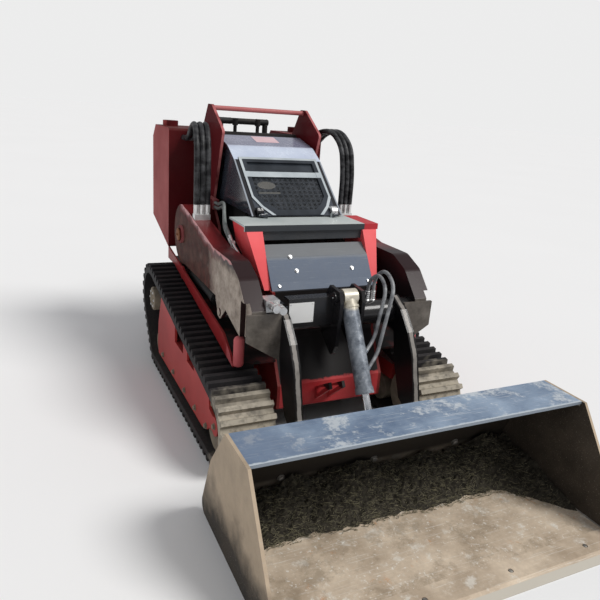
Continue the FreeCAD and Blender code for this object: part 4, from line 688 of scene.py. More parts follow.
def grille_finish():
    skin = Finish("grille_paint", metal=0.3, coat=0.3)
    up_slope, out = slope_place(skin)
    sideways = abs(skin.along("X"))
    inside = 1.0
    for across, upward, start in RIM_LINES:
        inside = (sideways * across + up_slope * upward - start).least(inside)
    rim = out.span(RIM_OUT, RIM_OUT + 0.0005) * inside.span(RIM_WIDTH + 0.0005, RIM_WIDTH)
    bar = up_slope.between(BAR_LOW, BAR_HIGH, 0.001) * out.span(0.001, 0.002)
    clouds = skin.clouds(12, 4)
    dark = mix(clouds, (0.016, 0.02, 0.026), (0.04, 0.048, 0.06))
    pale = mix(clouds, (0.42, 0.47, 0.50), (0.60, 0.65, 0.67))
    skin.colour(mix(bar.most(rim), dark, pale))
    skin.rough(0.28)
    return skin


grille_paint = grille_finish()

# %% [markdown]
# Each solid takes the finish of the real part. One table of name beginnings
# does this for all of them, and a name that no entry covers stops the script.

# %% Finish of every solid
FINISHES = (
    (chassis_red, ("main_frame",)),
    (nose_red, ("belly_and_nose",)),
    (bar_red, ("upright_crossbar",)),
    (maroon_sheet, ("upright",)),
    (fender_red, ("fender",)),
    (tower_red, ("tower",)),
    (post_red, ("front_post",)),
    (cover_steel, ("front_cover", "operator_platform")),
    (crossbar_paint, ("front_crossbar",)),
    (ledge_paint, ("hood_ledge",)),
    (hood_gloss, ("hood_shell",)),
    (grille_paint, ("hood_grille",)),
    (cast_iron, ("engine_block", "cooler")),
    (black_satin, ("console", "lift_left_barrel", "lift_right_barrel", "bucket_mount")),
    (plain_black, ("hand_controls", "thigh_pad")),
    (track_frame_red, ("track_frame",)),
    (dusty_steel, ("track_rollers", "sprocket")),
    (track_rubber, ("track_left", "track_right")),
    (arm_paint, ("lift_arm",)),
    (silver, ("hose_fittings", "aux_lines", "aux_couplers")),
    (hose_sleeve, ("hose_bundle",)),
    (grey_hose, ("aux_hoses",)),
    (tilt_hose_grey, ("tilt_hoses",)),
    (blade_black, ("blade",)),
    (black_gloss, ("arm_crossmember",)),
    (chrome, ("lift_left_rod", "lift_right_rod", "tilt_rod")),
    (tilt_barrel_paint, ("tilt_barrel",)),
    (floor_steel, ("bucket_shell",)),
    (side_plate, ("bucket_sides",)),
    (lip_steel, ("bucket_lip",)),
    (edge_blend, ("cutting_edge",)),
)


def finish_of(name):
    found = [finish for finish, starts in FINISHES if name.startswith(starts)]
    if not found:
        raise ValueError("no finish for " + name)
    return found[0].material


for name, solid in nodes.items():
    solid.data.materials.clear()
    solid.data.materials.append(finish_of(name))
print("finished solids", len(nodes))

# %% [markdown]
# The small parts are surfaces worked out with numpy. A grid of points is bent
# into the wanted form, and its faces follow from the grid alone. Each piece
# rides on a body and takes the finish that it is given.

# %% Mesh from a grid
def grid_faces(rows, columns, closed=False):
    """Each face joins a point, its neighbour, the one above that and the one above itself."""
    row, column = np.meshgrid(np.arange(rows - 1), np.arange(columns if closed else columns - 1),
                              indexing="ij")
    beside = (column + 1) % columns
    corners = (row * columns + column, row * columns + beside, (row + 1) * columns + beside,
               (row + 1) * columns + column)
    return np.stack(corners, axis=-1).reshape(-1, 4).tolist()


def repeated_faces(count, size, faces):
    """The faces of one form, for as many copies of its points as there are."""
    return (np.arange(count)[:, None, None] * size + np.asarray(faces)).reshape(
        -1, len(faces[0])).tolist()


def capped(rings):
    """A stack of rings of points, closed round and at both ends."""
    rows, columns = rings.shape[:2]
    first = list(range(columns))
    last = [(rows - 1) * columns + number for number in first]
    return rings.reshape(-1, 3), grid_faces(rows, columns, closed=True) + [first[::-1], last]


def turn_outward(mesh):
    shape = bmesh.new()
    shape.from_mesh(mesh)
    bmesh.ops.recalc_face_normals(shape, faces=shape.faces)
    shape.to_mesh(mesh)
    shape.free()


def add_piece(name, shape, finish, body, smooth=True, outward=True, bevel=0.0):
    """A mesh from points and faces, riding on a body, with broken edges if it has a bevel."""
    points, faces = shape
    mesh = bpy.data.meshes.new(name)
    mesh.from_pydata(np.asarray(points, float).reshape(-1, 3).tolist(), [], faces)
    mesh.polygons.foreach_set("use_smooth", [smooth] * len(mesh.polygons))
    mesh.materials.append(finish.material)
    mesh.update()
    if outward:
        turn_outward(mesh)
    made = bpy.data.objects.new(name, mesh)
    bpy.context.collection.objects.link(made)
    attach(made, body)
    if bevel:
        edges = made.modifiers.new("broken_edges", "BEVEL")
        edges.width, edges.segments, edges.limit_method = bevel, 2, "ANGLE"
    return made


def merge(parts):
    """Several (points, faces) pairs as one pair, with each face's numbers moved on."""
    starts = np.concatenate([[0], np.cumsum([len(points) for points, faces in parts])])
    faces = [[int(number + start) for number in face]
             for (points, found), start in zip(parts, starts) for face in found]
    return np.concatenate([points for points, found in parts]), faces


print("helpers for meshes ready")

# %% [markdown]
# A tube is a ring of points carried along a path. The ring has to stand
# square to the path, so each point of the path gets two directions: one
# square to both the path and a fixed reference, and one square to those two.
# Round parts with a straight axis are profiles turned about it. With corners,
# a turned bar becomes a nut or a bolt's head.

# %% Tubes and turned parts
def unit(direction):
    return direction / np.linalg.norm(direction, axis=-1, keepdims=True)


def around(count):
    return np.linspace(0, 2 * np.pi, count, endpoint=False)


def tube(path, radius, sides, reference):
    """A ring of the path's own radius at each of its points, in the plane square to it there."""
    ahead = unit(np.gradient(path, axis=0))
    first = unit(np.cross(ahead, reference))
    second = np.cross(ahead, first)
    angle = around(sides)[None, :, None]
    ring = np.cos(angle) * first[:, None] + np.sin(angle) * second[:, None]
    return capped(path[:, None] + radius[:, None, None] * ring)


def turned(profile, centre, axis, sides=24, corners=0):
    """A profile of (radius, distance) pairs turned about an axis through the centre.

    With corners, the radius is divided by the cosine of the angle from the middle
    of the nearest flat.
    """
    profile = np.asarray(profile, float)
    axis = unit(np.asarray(axis, float))
    first = unit(np.cross(axis, (0, 0, 1) if abs(axis[2]) < 0.9 else (1, 0, 0)))
    angle = around(sides)[:, None]
    ring = np.cos(angle) * first + np.sin(angle) * np.cross(axis, first)
    if corners:
        part = np.pi / corners
        ring /= np.cos((angle + part) % (2 * part) - part)
    return capped(profile[:, :1, None] * ring + profile[:, 1:, None] * axis + centre)


# %% [markdown]
# Flat pieces such as plates and patches are prisms: an outline carried
# straight through a thickness. A small Bevel then breaks their edges, as on
# any real part, so that they catch a line of light.

# %% Prisms
def rectangle(first, second):
    """Four corners in order, from a low and a high number in each direction."""
    return [(first[i], second[j]) for i, j in ((0, 0), (1, 0), (1, 1), (0, 1))]


def prism(outline, through):
    """The outline's points, and the same points moved on by the thickness."""
    outline = np.asarray(outline, float)
    number = np.arange(len(outline))
    after, moved = np.roll(number, -1), len(outline)
    sides = np.stack([number, after, after + moved, number + moved], axis=1).tolist()
    ends = [number[::-1].tolist(), (number + moved).tolist()]
    return np.vstack([outline, outline + through]), sides + ends


# %% [markdown]
# Bolts hold the cover, the coupling plate, the hubs and the frames. A head is
# a profile turned about the bolt's axis, six-sided above a round washer. The
# heads of one set become one object, which keeps the list of objects short.

# %% Bolt heads
WASHER = np.array([(0, 0), (1.45, 0), (1.45, 0.22), (0, 0.22)])
HEAD = np.array([(0, 0.2), (1, 0.2), (1, 0.85), (0.82, 1), (0, 1)])
COVER_BOLTS = ((-0.126, -0.150, 0.703), (-0.108, -0.181, 0.654), (0.141, -0.181, 0.654),
               (-0.192, -0.214, 0.603), (0.204, -0.214, 0.603))
BACK_WALL_BOLTS = tuple((x, -0.6965, 0.100) for x in (-0.36, 0.0, 0.36))


def bolt_set(name, centres, axis, size, finish, body):
    """Washers and heads at all the centres. size is half the head's width."""
    shapes = []
    for centre in centres:
        shapes.append(turned(WASHER * size, centre, axis, 12))
        shapes.append(turned(HEAD * size, centre, axis, 12, corners=6))
    return add_piece(name, merge(shapes), finish, body, smooth=False)


bolt_set("cover_bolts", COVER_BOLTS, (0, -0.84, 0.54), 0.006, bright_steel, "chassis")
bolt_set("back_wall_bolts", BACK_WALL_BOLTS, (0, -0.926, -0.378), 0.010, edge_steel, "bucket")
print("bolts", len(COVER_BOLTS), "and", len(BACK_WALL_BOLTS))

# %% [markdown]
# The cutting edge is held by countersunk plough bolts, whose flat heads lie
# level with the steel. They stand on a line a little behind the bevel.

# %% Bolts of the cutting edge
EDGE_BOLT_X = (-0.465, -0.155, 0.155, 0.465)
BEHIND_EDGE = 0.068
FLUSH_HEAD = [(0, -0.006), (0.0068, -0.006), (0.0068, -0.0004), (0.0062, 0.0002), (0, 0.0002)]
edge_low, edge_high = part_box("cutting_edge")
edge_bolts = add_piece("edge_bolts", merge([
    turned(FLUSH_HEAD, (x, edge_low[1] + BEHIND_EDGE, edge_high[2]), (0, 0, 1), 20)
    for x in EDGE_BOLT_X]), edge_steel, "bucket")
print("edge bolts", len(EDGE_BOLT_X), "at", edge_high[2])

# %% [markdown]
# Each wheel of the tracks is a solid disc. The idler at the front shows its
# face through the frame, so it gets a rim, a dished web and a hub, all from
# one turned profile. The drive hubs get a flange and a ring of bolts, and the
# frames the bolts of their rollers.

# %% Faces of the wheels
IDLER_CENTRE, IDLER_FACE = (-0.398, 0.150), 0.483
HUB_CENTRE, HUB_FACE = (0.620, 0.310), 0.497
HUB_BOLT_CIRCLE, HUB_FLANGE = 0.038, 0.005
IDLER_PROFILE = [(0, 0), (0.100, 0), (0.100, 0.006), (0.096, 0.008), (0.084, 0.008), (0.078, 0.001),
                 (0.046, 0.001), (0.046, 0.0005), (0, 0.0005)]
HUB_PROFILE = [(0, 0), (0.055, 0), (0.055, 0.004), (0.050, 0.006), (0.024, 0.006), (0.020, 0.012),
               (0, 0.012)]
ROLLER_BOLTS = [(y, 0.100) for y in (-0.300, -0.150, 0.010, 0.200, 0.400)] + [IDLER_CENTRE]

for side, name in ((1, "left"), (-1, "right")):
    axis = (side, 0, 0)
    for kind, profile, face, centre, sides in (
            ("idler_face_", IDLER_PROFILE, IDLER_FACE, IDLER_CENTRE, 40),
            ("hub_face_", HUB_PROFILE, HUB_FACE, HUB_CENTRE, 32)):
        add_piece(kind + name, turned(profile, (side * face, *centre), axis, sides), dusty_steel,
                  "chassis")
    hub_places = [(side * (HUB_FACE + HUB_FLANGE), HUB_CENTRE[0] + HUB_BOLT_CIRCLE * math.cos(a),
                   HUB_CENTRE[1] + HUB_BOLT_CIRCLE * math.sin(a)) for a in around(6)]
    bolt_set("hub_bolts_" + name, hub_places, axis, 0.005, bright_steel, "chassis")
    bolt_set("frame_bolts_" + name, [(side * HUB_FACE, y, z) for y, z in ROLLER_BOLTS], axis, 0.009,
             dusty_steel, "chassis")
print("wheel faces and bolts on both sides")

# %% [markdown]
# The machine's loose soil lies in the back of the bucket. It is a height
# field: a bank that falls forward from the back wall, roughened by sums of
# sine waves and random bumps, with its edge sunk just under the floor. It
# leans back with the back wall. Dry stalks lie on it. A simulation of grains
# would be truer, but thousands of bodies show nothing more at this distance.

# %% Soil in the bucket
random = np.random.default_rng(7)
FLOOR_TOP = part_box("bucket_shell")[0][2] + 0.008
SOIL_X, SOIL_BACK, SOIL_FRONT = 0.598, -0.672, -1.13
SOIL_HEIGHT = 0.085
WALL_LEAN, LEAN_REACH = 0.408, 0.2
# The bank's front follows the lip's shadow line. By the left side plate it reaches forward over the
# plate's shadow: dark soil put there as painted shade.
FRONT_AT_X = ([-0.6, 0.42, 0.52, 0.60], [-0.890, -0.902, -1.01, -1.11])


def soil_front(x):
    """Where the bank ends: nearly straight along the lip's shadow line, and further forward along the
    left side plate, where the dark soil fills the plate's shadow as painted shade.
    """
    ragged = 0.006 * np.sin(19 * x + 2) + 0.004 * np.sin(53 * x) + 0.003 * np.sin(117 * x + 1)
    return np.interp(x, *FRONT_AT_X) + ragged


def soil_height(x, y):
    """Bank height: falls with the distance from the back, times a slow wave."""
    bank = np.clip(1 - (SOIL_BACK - y) / (SOIL_BACK - soil_front(x)), 0, 1) ** 0.8
    waves = 1 + (0.22 * np.sin(9 * x + 5 * y) + 0.15 * np.sin(23 * x - 14 * y)
                 + 0.10 * np.sin(47 * x + 31 * y))
    return SOIL_HEIGHT * bank * waves


def leaned(y, z):
    """Moved back by the back wall's lean, which dies out further forward."""
    return y - WALL_LEAN * z * np.clip(1 - (SOIL_BACK - y) / LEAN_REACH, 0, 1)


def soil():
    """A grid over the floor with the bank's height as z."""
    rows, columns = 90, 220
    x, y = np.meshgrid(np.linspace(-SOIL_X, SOIL_X, columns),
                       np.linspace(SOIL_FRONT, SOIL_BACK, rows))
    rough = random.normal(0, 1, x.shape)
    smooth = (rough + np.roll(rough, 1, 0) + np.roll(rough, 1, 1) + np.roll(rough, -1, 0)) / 2
    height = soil_height(x, y)
    z = FLOOR_TOP - 0.002 + height + 0.0045 * smooth * np.clip(height / 0.02, 0, 1)
    return np.stack([x, leaned(y, np.clip(z, 0, None)), z], axis=-1), grid_faces(rows, columns)


def soil_finish():
    skin = Finish("dry_soil")
    straw = skin.clouds(34, 3, 0.55, 0.66, stretch=(1, 5, 1), turn=(0, 0, 0.6))
    # The earth's near-black tone is partly painted shade.
    earth = mix(skin.clouds(60, 8, 0.33, 0.66, roughness=0.75), (0.012, 0.010, 0.008),
                (0.060, 0.052, 0.037))
    skin.colour(mix(straw * 0.45, earth, (0.16, 0.145, 0.095)))
    skin.rough(0.95)
    skin.bump(skin.noise(130, 6, roughness=0.7), 0.9, 0.004)
    return skin


def stalks(count):
    """Thin flat blades: a short line from a random place in a random direction, widened."""
    x = random.uniform(-SOIL_X + 0.03, SOIL_X - 0.03, count)
    y = SOIL_BACK + (soil_front(x) - 0.02 - SOIL_BACK) * random.uniform(0.0, 1.0, count) ** 0.8
    z = FLOOR_TOP + soil_height(x, y) + 0.003
    start = np.stack([x, leaned(y, z), z], axis=1)
    angle = random.uniform(0, np.pi, count)
    length = (0.006 + 0.034 * random.uniform(0, 1, count) ** 2)[:, None]
    rise = random.uniform(-0.1, 0.2, count)
    heading = np.stack([np.cos(angle), np.sin(angle) * 0.6, rise], axis=1)
    across = np.stack([-np.sin(angle), np.cos(angle), np.zeros(count)], axis=1) * 0.0008
    middle, end = start + heading * length * 0.5 + (0, 0, 0.0015), start + heading * length
    points = np.stack([start - across, start + across, middle + across, end, middle - across],
                      axis=1)
    points[..., 2] = np.clip(points[..., 2], FLOOR_TOP, None)
    points[..., 0] = np.clip(points[..., 0], -0.599, 0.599)
    return points, repeated_faces(count, 5, [(0, 1, 2, 3, 4)])


soil_bank = add_piece("soil_bank", soil(), soil_finish(), "bucket", outward=False)
straw = bare_metal("dry_straw", (0.05, 0.045, 0.03), (0.26, 0.235, 0.15), 0.85, metal=0.0)
dry_stalks = add_piece("dry_stalks", stalks(3000), straw, "bucket", smooth=False,
                       outward=False)
print("soil", len(soil_bank.data.polygons), "stalks", len(dry_stalks.data.polygons))

# %% [markdown]
# Weld beads run where the bucket's floor and lip meet its side plates. A bead
# is a thin tube whose radius swells and shrinks in even steps.

# %% Weld beads
BEAD_X, BEAD_RADIUS, BEAD_PITCH = 0.600, 0.004, 0.007
BEAD_LINES = (((-1.19, 0.008), (-1.00, 0.008)), ((-0.846, 0.372), (-1.004, 0.372)))


def bead(start, end):
    """A tube on a straight line, its radius changed by the absolute sine of the way along."""
    start, end = np.array(start), np.array(end)
    count = int(np.linalg.norm(end - start) / BEAD_PITCH * 3)
    swell = np.abs(np.sin(np.linspace(0, np.pi * count / 3, count)))
    path = start + (end - start) * np.linspace(0, 1, count)[:, None]
    return tube(path, BEAD_RADIUS * (0.75 + 0.25 * swell), 6, (0, 0, 1))


weld_beads = add_piece("weld_beads", merge([
    bead((side * BEAD_X, *start), (side * BEAD_X, *end))
    for side in (-1, 1) for start, end in BEAD_LINES]), edge_steel, "bucket",
    outward=False)
print("weld beads", 2 * len(BEAD_LINES))

# %% [markdown]
# Above the track, the fender ends in a rounded red nose, painted bright
# pink-red as a painted highlight.
# It is a half round bar, so its section is a circle cut in two and closed by
# a flat back, drawn straight down with a small dome at the top.

# %% Fender ends
NOSE_X, NOSE_Y = 0.3835, -0.3095
NOSE_LOW, NOSE_HIGH, NOSE_RADIUS = 0.336, 0.458, 0.021
DOME, FOOT = 0.016, 0.01


def fender_nose(side):
    """Half circle in front, carried up, its radius shrinking to a dome at both ends."""
    levels = np.concatenate([np.linspace(NOSE_LOW, NOSE_LOW + FOOT, 5),
                             np.linspace(NOSE_HIGH - DOME, NOSE_HIGH, 8)])
    above = np.clip((levels - (NOSE_HIGH - DOME)) / DOME, 0, 1)
    below = np.clip((NOSE_LOW + FOOT - levels) / FOOT, 0, 1)
    shrink = np.sqrt(np.clip(1 - above ** 2, 0.02, 1)) * np.sqrt(1 - 0.6 * below ** 2)
    angle = np.linspace(np.pi, 2 * np.pi, 15)
    x = side * NOSE_X + NOSE_RADIUS * np.cos(angle) * shrink[:, None]
    y = NOSE_Y + NOSE_RADIUS * np.sin(angle) * shrink[:, None]
    return capped(np.stack([x, y, np.broadcast_to(levels[:, None], x.shape)], axis=-1))


fender_noses = add_piece("fender_noses", merge([fender_nose(-1), fender_nose(1)]), nose_pink,
                         "chassis")
print("fender noses", len(fender_noses.data.polygons), "faces")

# %% [markdown]
# A plain white plate sits on the arm of the tilt bracket, held by four
# rivets. It carried a label, which is left off.

# %% Blank plate
PLATE_X, PLATE_Z, PLATE_Y = (-0.231, -0.132), (0.521, 0.598), -0.3972
RIVET_PROFILE = [(0, 0), (0.0028, 0), (0.0024, 0.001), (0.0012, 0.0017), (0, 0.0019)]
RIVET_INSET = 0.006

white_enamel = paint("white_enamel", (0.70, 0.70, 0.69), (0.80, 0.80, 0.79), amount=0.05, rough=0.3,
                     low=0.0)
plate_foot = [(x, y, PLATE_Z[0]) for x, y in rectangle(PLATE_X, (PLATE_Y - 0.0015, PLATE_Y))]
add_piece("blank_plate", prism(plate_foot, (0, 0, PLATE_Z[1] - PLATE_Z[0])), white_enamel, "arms",
          smooth=False, bevel=0.0005)
rivet_places = [(x, PLATE_Y - 0.0012, z) for x in (PLATE_X[0] + RIVET_INSET, PLATE_X[1] - RIVET_INSET)
                for z in (PLATE_Z[0] + RIVET_INSET, PLATE_Z[1] - RIVET_INSET)]
add_piece("plate_rivets", merge([turned(RIVET_PROFILE, place, (0, -1, 0), 12)
                                 for place in rivet_places]), bright_steel, "arms")
print("rivets", len(rivet_places))

# %% [markdown]
# The pieces on the hood's front are placed by three numbers: sideways, up its
# slope, and out from it. They lie level with the sheet or just under it.

# %% Place on the hood's slope
SLOPE_UP = np.array([0.0, math.cos(HOOD_SLOPE), math.sin(HOOD_SLOPE)])
SLOPE_OUT = np.array([0.0, -math.sin(HOOD_SLOPE), math.cos(HOOD_SLOPE)])


def slope_points(x, up_slope, out):
    """The foot of the slope, plus x sideways, so far up it and so far out from it."""
    x, up_slope, out = (part[..., None] for part in
                        np.broadcast_arrays(np.asarray(x, float), up_slope, out))
    return np.array([0.0, *HOOD_FOOT]) + x * (1.0, 0.0, 0.0) + up_slope * SLOPE_UP + out * SLOPE_OUT


print("slope", round(math.degrees(HOOD_SLOPE), 1), "degrees")

# %% [markdown]
# A fine wire mesh fills the large window of the hood's front. Its wires are
# square bars between two points on the window's outline, made all at once. A
# picture with holes would be lighter, but it would show no depth up close.

# %% Wire mesh
WINDOW_HALF, WINDOW_LOW, WINDOW_HIGH = 0.158, 0.034, 0.217
WIRE, PITCH, MESH_OUT = 0.0005, 0.0064, -0.0042
BAR_FACES = [(0, 1, 5, 4), (1, 2, 6, 5), (2, 3, 7, 6), (3, 0, 4, 7)]


def window_half(up_slope):
    """Half width of the window: full above 118 mm, and less along its slanting corners."""
    return np.interp(up_slope, [0.032, 0.062, 0.107, 0.118], [0.088, 0.126, 0.155, 0.158]) - 0.001


def window_foot(sideways):
    """Lowest place of the window at a distance from the middle."""
    return np.interp(np.abs(sideways), [0.088, 0.126, 0.155, 0.158], [0.034, 0.062, 0.107, 0.118])


def wires(starts, ends, across):
    corners = np.stack([across, SLOPE_OUT * WIRE, -across, -SLOPE_OUT * WIRE])
    points = np.stack([starts[:, None] + corners, ends[:, None] + corners], axis=1)
    return points.reshape(-1, 3), repeated_faces(len(starts), 8, BAR_FACES)


levels = np.arange(WINDOW_LOW + 0.004, WINDOW_HIGH, PITCH)
columns = np.arange(-WINDOW_HALF + 0.004, WINDOW_HALF, PITCH)
level_wires = wires(slope_points(-window_half(levels), levels, MESH_OUT),
                    slope_points(window_half(levels), levels, MESH_OUT), SLOPE_UP * WIRE)
column_wires = wires(slope_points(columns, window_foot(columns), MESH_OUT + WIRE),
                     slope_points(columns, WINDOW_HIGH, MESH_OUT + WIRE), np.array([WIRE, 0, 0]))
wire_grey = bare_metal("wire_grey", (0.10, 0.11, 0.12), (0.20, 0.21, 0.23), 0.4, metal=0.4)
add_piece("wire_mesh", merge([level_wires, column_wires]), wire_grey, "hood",
          smooth=False)
print("wires", len(levels), "+", len(columns))

# %% [markdown]
# A plain pale patch lies on the roof by its front edge, where a label was.
# Behind the mesh, a dim oval cap and a bar show faintly. They are taken for
# the filter's cap and a brace, which the photo only hints at.

# %% Patch, filter cap and bar
ROOF_START, ROOF_END = np.array([0.0, 0.405, 1.078]), np.array([0.0, 0.560, 1.115])
ROOF_OUT = unit(np.cross((1.0, 0.0, 0.0), ROOF_END - ROOF_START))
PATCH_X, PATCH_SHARE = (-0.050, 0.066), (0.41, 0.93)
CAP_PLACE, CAP_HALF = (-0.098, 0.176), (0.042, 0.022)
BRACE_X, BRACE_UP = (-0.145, -0.045), (0.128, 0.137)
BEHIND_MESH, BEHIND_THICK = -0.0048, 0.0004

pale_patch = paint("pale_patch", (0.66, 0.44, 0.48), (0.80, 0.60, 0.64), amount=0.04, low=0.0)
tan_plastic = paint("tan_plastic", (0.10, 0.10, 0.09), (0.17, 0.165, 0.15), amount=0.05, rough=0.6,
                    low=0.0)
patch_outline = [ROOF_START + (ROOF_END - ROOF_START) * share + (x, 0.0, 0.0) - ROOF_OUT * 0.0005
                 for x, share in rectangle(PATCH_X, PATCH_SHARE)]
add_piece("roof_patch", prism(patch_outline, ROOF_OUT * 0.0014), pale_patch, "hood",
          smooth=False, bevel=0.0004)
cap_outline = slope_points(CAP_PLACE[0] + CAP_HALF[0] * np.cos(around(36)),
                           CAP_PLACE[1] + CAP_HALF[1] * np.sin(around(36)), BEHIND_MESH)
brace_outline = slope_points(*np.transpose(rectangle(BRACE_X, BRACE_UP)), BEHIND_MESH)
add_piece("behind_mesh", merge([prism(outline, SLOPE_OUT * BEHIND_THICK)
                                for outline in (cap_outline, brace_outline)]), tan_plastic, "hood",
          smooth=False)
print("patch", PATCH_X, "cap", CAP_PLACE)

# %% [markdown]
# The hood turns forward on two small hinges at its foot. Each gets a clamp
# with two bolts. The clamp on the machine's left side is silver, and the one on
# its right, under the hoses, is painted black as their shade. A clamp is a low
# block with a rounded top.

# %% Hinge clamps
CLAMP_WIDTH = 0.030


def clamp(x, height):
    """A prism in the machine's side plane: a flattened half circle on the slope's foot."""
    angle, half = np.linspace(0, np.pi, 12), height / 2
    up_slope = np.concatenate([[0.0], half - half * np.cos(angle), [height]])
    out = np.concatenate([[0.0], half * np.sin(angle) * 0.8 + 0.002, [0.0]])
    return prism(slope_points(x, up_slope + 0.004, out + 0.0042), (CLAMP_WIDTH, 0, 0))


# The right clamp's black is painted shade from the hoses above it.
for name, x, height, finish, slot in (
        ("hood_clamp_left", 0.158, 0.040, silver, "silver_fittings"),
        ("hood_clamp_right", -0.190, 0.034, black_gloss, "dark_panel")):
    add_piece(name, clamp(x, height), finish, "hood", smooth=False, bevel=0.0015)
bolt_set("clamp_bolts", [slope_points(x, 0.022, 0.019) for x in (0.166, 0.180, -0.182, -0.168)],
         SLOPE_OUT, 0.0035, bright_steel, "hood")
print("clamps", 2)

# %% [markdown]
# The tilt hoses end in crimped ferrules: a sleeve with shallow grooves and a
# six-sided nut. The coupler beside them is closed by a small brass cap.

# %% Ferrules and cap
CAP_AT = (-0.276, -0.4385, 0.590)
CAP_PROFILE = [(0, 0), (0.0075, 0), (0.0080, 0.0015), (0.0080, 0.008), (0.0068, 0.0105), (0, 0.0108)]
FERRULES_AT = ((0.125, -0.345, 0.573), (0.150, -0.345, 0.573))


def ferrule(centre, radius=0.0095, length=0.034):
    """A sleeve whose radius dips in four grooves, then a nut."""
    share = np.linspace(0, 1, 25)
    dips = radius * (1 - 0.06 * (np.sin(share * 4 * 2 * np.pi) > 0.55))
    sleeve = np.concatenate([[(0, 0)], np.stack([dips, share * length], axis=1), [(0, length)]])
    wide, low, high = radius * 1.08, -0.3 * length, 0.02 * length
    nut = [(0, low), (wide, low), (wide, high), (0, high)]
    return merge([turned(sleeve, centre, (0, 0, 1), 20),
                  turned(nut, centre, (0, 0, 1), 18, corners=6)])


add_piece("gold_cap", turned(CAP_PROFILE, CAP_AT, (0, -1, 0), 20), brass, "arms")
add_piece("tilt_hose_ends", merge([ferrule(centre) for centre in FERRULES_AT]), silver, "arms")
print("ferrules", len(FERRULES_AT))

# %% [markdown]
# The hoses are rubber, so they bend when the arms lift. A solid of the frame
# is rigid and rides on one body, and a rising arm would cut through it. So a
# copy of each hose's mesh stands for the solid, which is hidden. The copy stays
# where the solid was, rides on no body and does not bend. A simulation could
# bend them, but it would not end in the fitting.


def bending_hose(name):
    """A copy of a hose, left where it stands in the world, in place of the hidden solid."""
    bent = bpy.data.objects.new(name + "_bent", nodes[name].data.copy())
    bpy.context.collection.objects.link(bent)
    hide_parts(name)
    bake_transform(bent)


def limits(name):
    low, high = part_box(name)
    return low, high, (low[0] + high[0]) / 2


for name in ("hose_bundle_left", "hose_bundle_right"):
    low, high, x = limits(name)
    bending_hose(name)
low, high, x = limits("aux_hoses")
bending_hose("aux_hoses")
low, high, x = limits("tilt_hoses")
bending_hose("tilt_hoses")
print("bending hoses 4, the last between", low, "and", high)

# %% [markdown]
# The bright pin through the tilt cylinder's base shows its head beside the
# bracket, with a grease nipple in its middle. The arms' pivots end in rusty
# caps of the same form.

# %% Pin heads
TILT_BASE, TILT_PIN_X = (-0.410, 0.612), 0.0535
ARM_PIVOT, PIVOT_CAP_X = (0.490, 0.660), 0.4065


def pin_head(side, x, place, radius):
    """A flat head, and a nipple that narrows before its tip."""
    head = [(0, 0), (radius, 0), (radius, 0.0045), (radius - 0.002, 0.006), (0, 0.006)]
    nipple = [(0, 0.0055), (0.0035, 0.0055), (0.0035, 0.009), (0.0018, 0.010), (0.0024, 0.0125),
              (0, 0.013)]
    centre = (side * x, *place)
    return merge([turned(head, centre, (side, 0, 0), 28), turned(nipple, centre, (side, 0, 0), 12)])


rusty = bare_metal("rusty_pin", (0.14, 0.045, 0.018), (0.30, 0.13, 0.06), 0.6, metal=0.3)
add_piece("tilt_pin_heads", merge([pin_head(side, TILT_PIN_X, TILT_BASE, 0.017)
                                   for side in (-1, 1)]), bright_steel, "arms")
for side, name in ((1, "pivot_cap_left"), (-1, "pivot_cap_right")):
    add_piece(name, pin_head(side, PIVOT_CAP_X, ARM_PIVOT, 0.030), rusty, "chassis")
print("pivot caps at", ARM_PIVOT)

# %% [markdown]
# The pad that the driver leans on is a cushion in a vinyl cover. It bulges,
# with a seam along its edge. Its section is a superellipse, which is round at
# the sides and nearly flat in the middle, and it is pressed in at four
# buttons.

# %% Leaning pad
BUTTONS, BUTTON_DEPTH, BUTTON_WIDTH = (0.09, 0.055), 0.0055, 0.018
pad_low, pad_high = (np.asarray(corner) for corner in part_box("thigh_pad"))


def bulge(value, power):
    """The value's power, with its sign kept."""
    return np.sign(value) * np.abs(value) ** power


def pad_surface(rows=48, columns=72):
    """Rings from front to back round a rounded outline, less dips at the buttons."""
    half = (pad_high - pad_low) / 2
    latitude = np.linspace(-np.pi / 2, np.pi / 2, rows)[:, None]
    angle = around(columns)[None]
    flat = np.clip(np.cos(latitude), 0, 1) ** 0.55
    x = half[0] * flat * bulge(np.cos(angle), 0.28)
    z = half[2] * flat * bulge(np.sin(angle), 0.28)
    y = half[1] * bulge(np.sin(latitude), 0.5) * np.ones_like(angle)
    squares = ((np.abs(x) - BUTTONS[0]) ** 2 + (np.abs(z) - BUTTONS[1]) ** 2) / BUTTON_WIDTH ** 2
    y = y - np.where(y > 0, BUTTON_DEPTH * np.exp(-squares), 0)
    return capped(np.stack([x, y, z], axis=-1) + (pad_low + pad_high) / 2)


def vinyl_finish():
    skin = Finish("vinyl")
    skin.colour(mix(skin.clouds(12, 4), (0.012, 0.012, 0.013), (0.028, 0.027, 0.027)))
    skin.rough(0.5)
    skin.bump(skin.noise(240, 3), 0.25)
    return skin


vinyl = vinyl_finish()
leaning_pad = add_piece("leaning_pad", pad_surface(), vinyl, "chassis")
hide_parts("thigh_pad")
print("pad faces", len(leaning_pad.data.polygons))

# %% [markdown]
# The driver's platform has a raised tread: rows of small bars in a herringbone
# order, as on rolled tread plate. One bar's eight points are repeated for all,
# each turned by about 34 degrees to one side or the other.

# %% Tread of the platform
TREAD_TOP, TREAD_PITCH, TREAD_TURN, TREAD_HEIGHT = 0.194, 0.030, 0.6, 0.0016
TREAD_BAR = np.array([(-0.010, 0, 0), (0, -0.0028, 0), (0.010, 0, 0), (0, 0.0028, 0),
                      (-0.007, 0, 1), (0, -0.0012, 1), (0.007, 0, 1), (0, 0.0012, 1)])


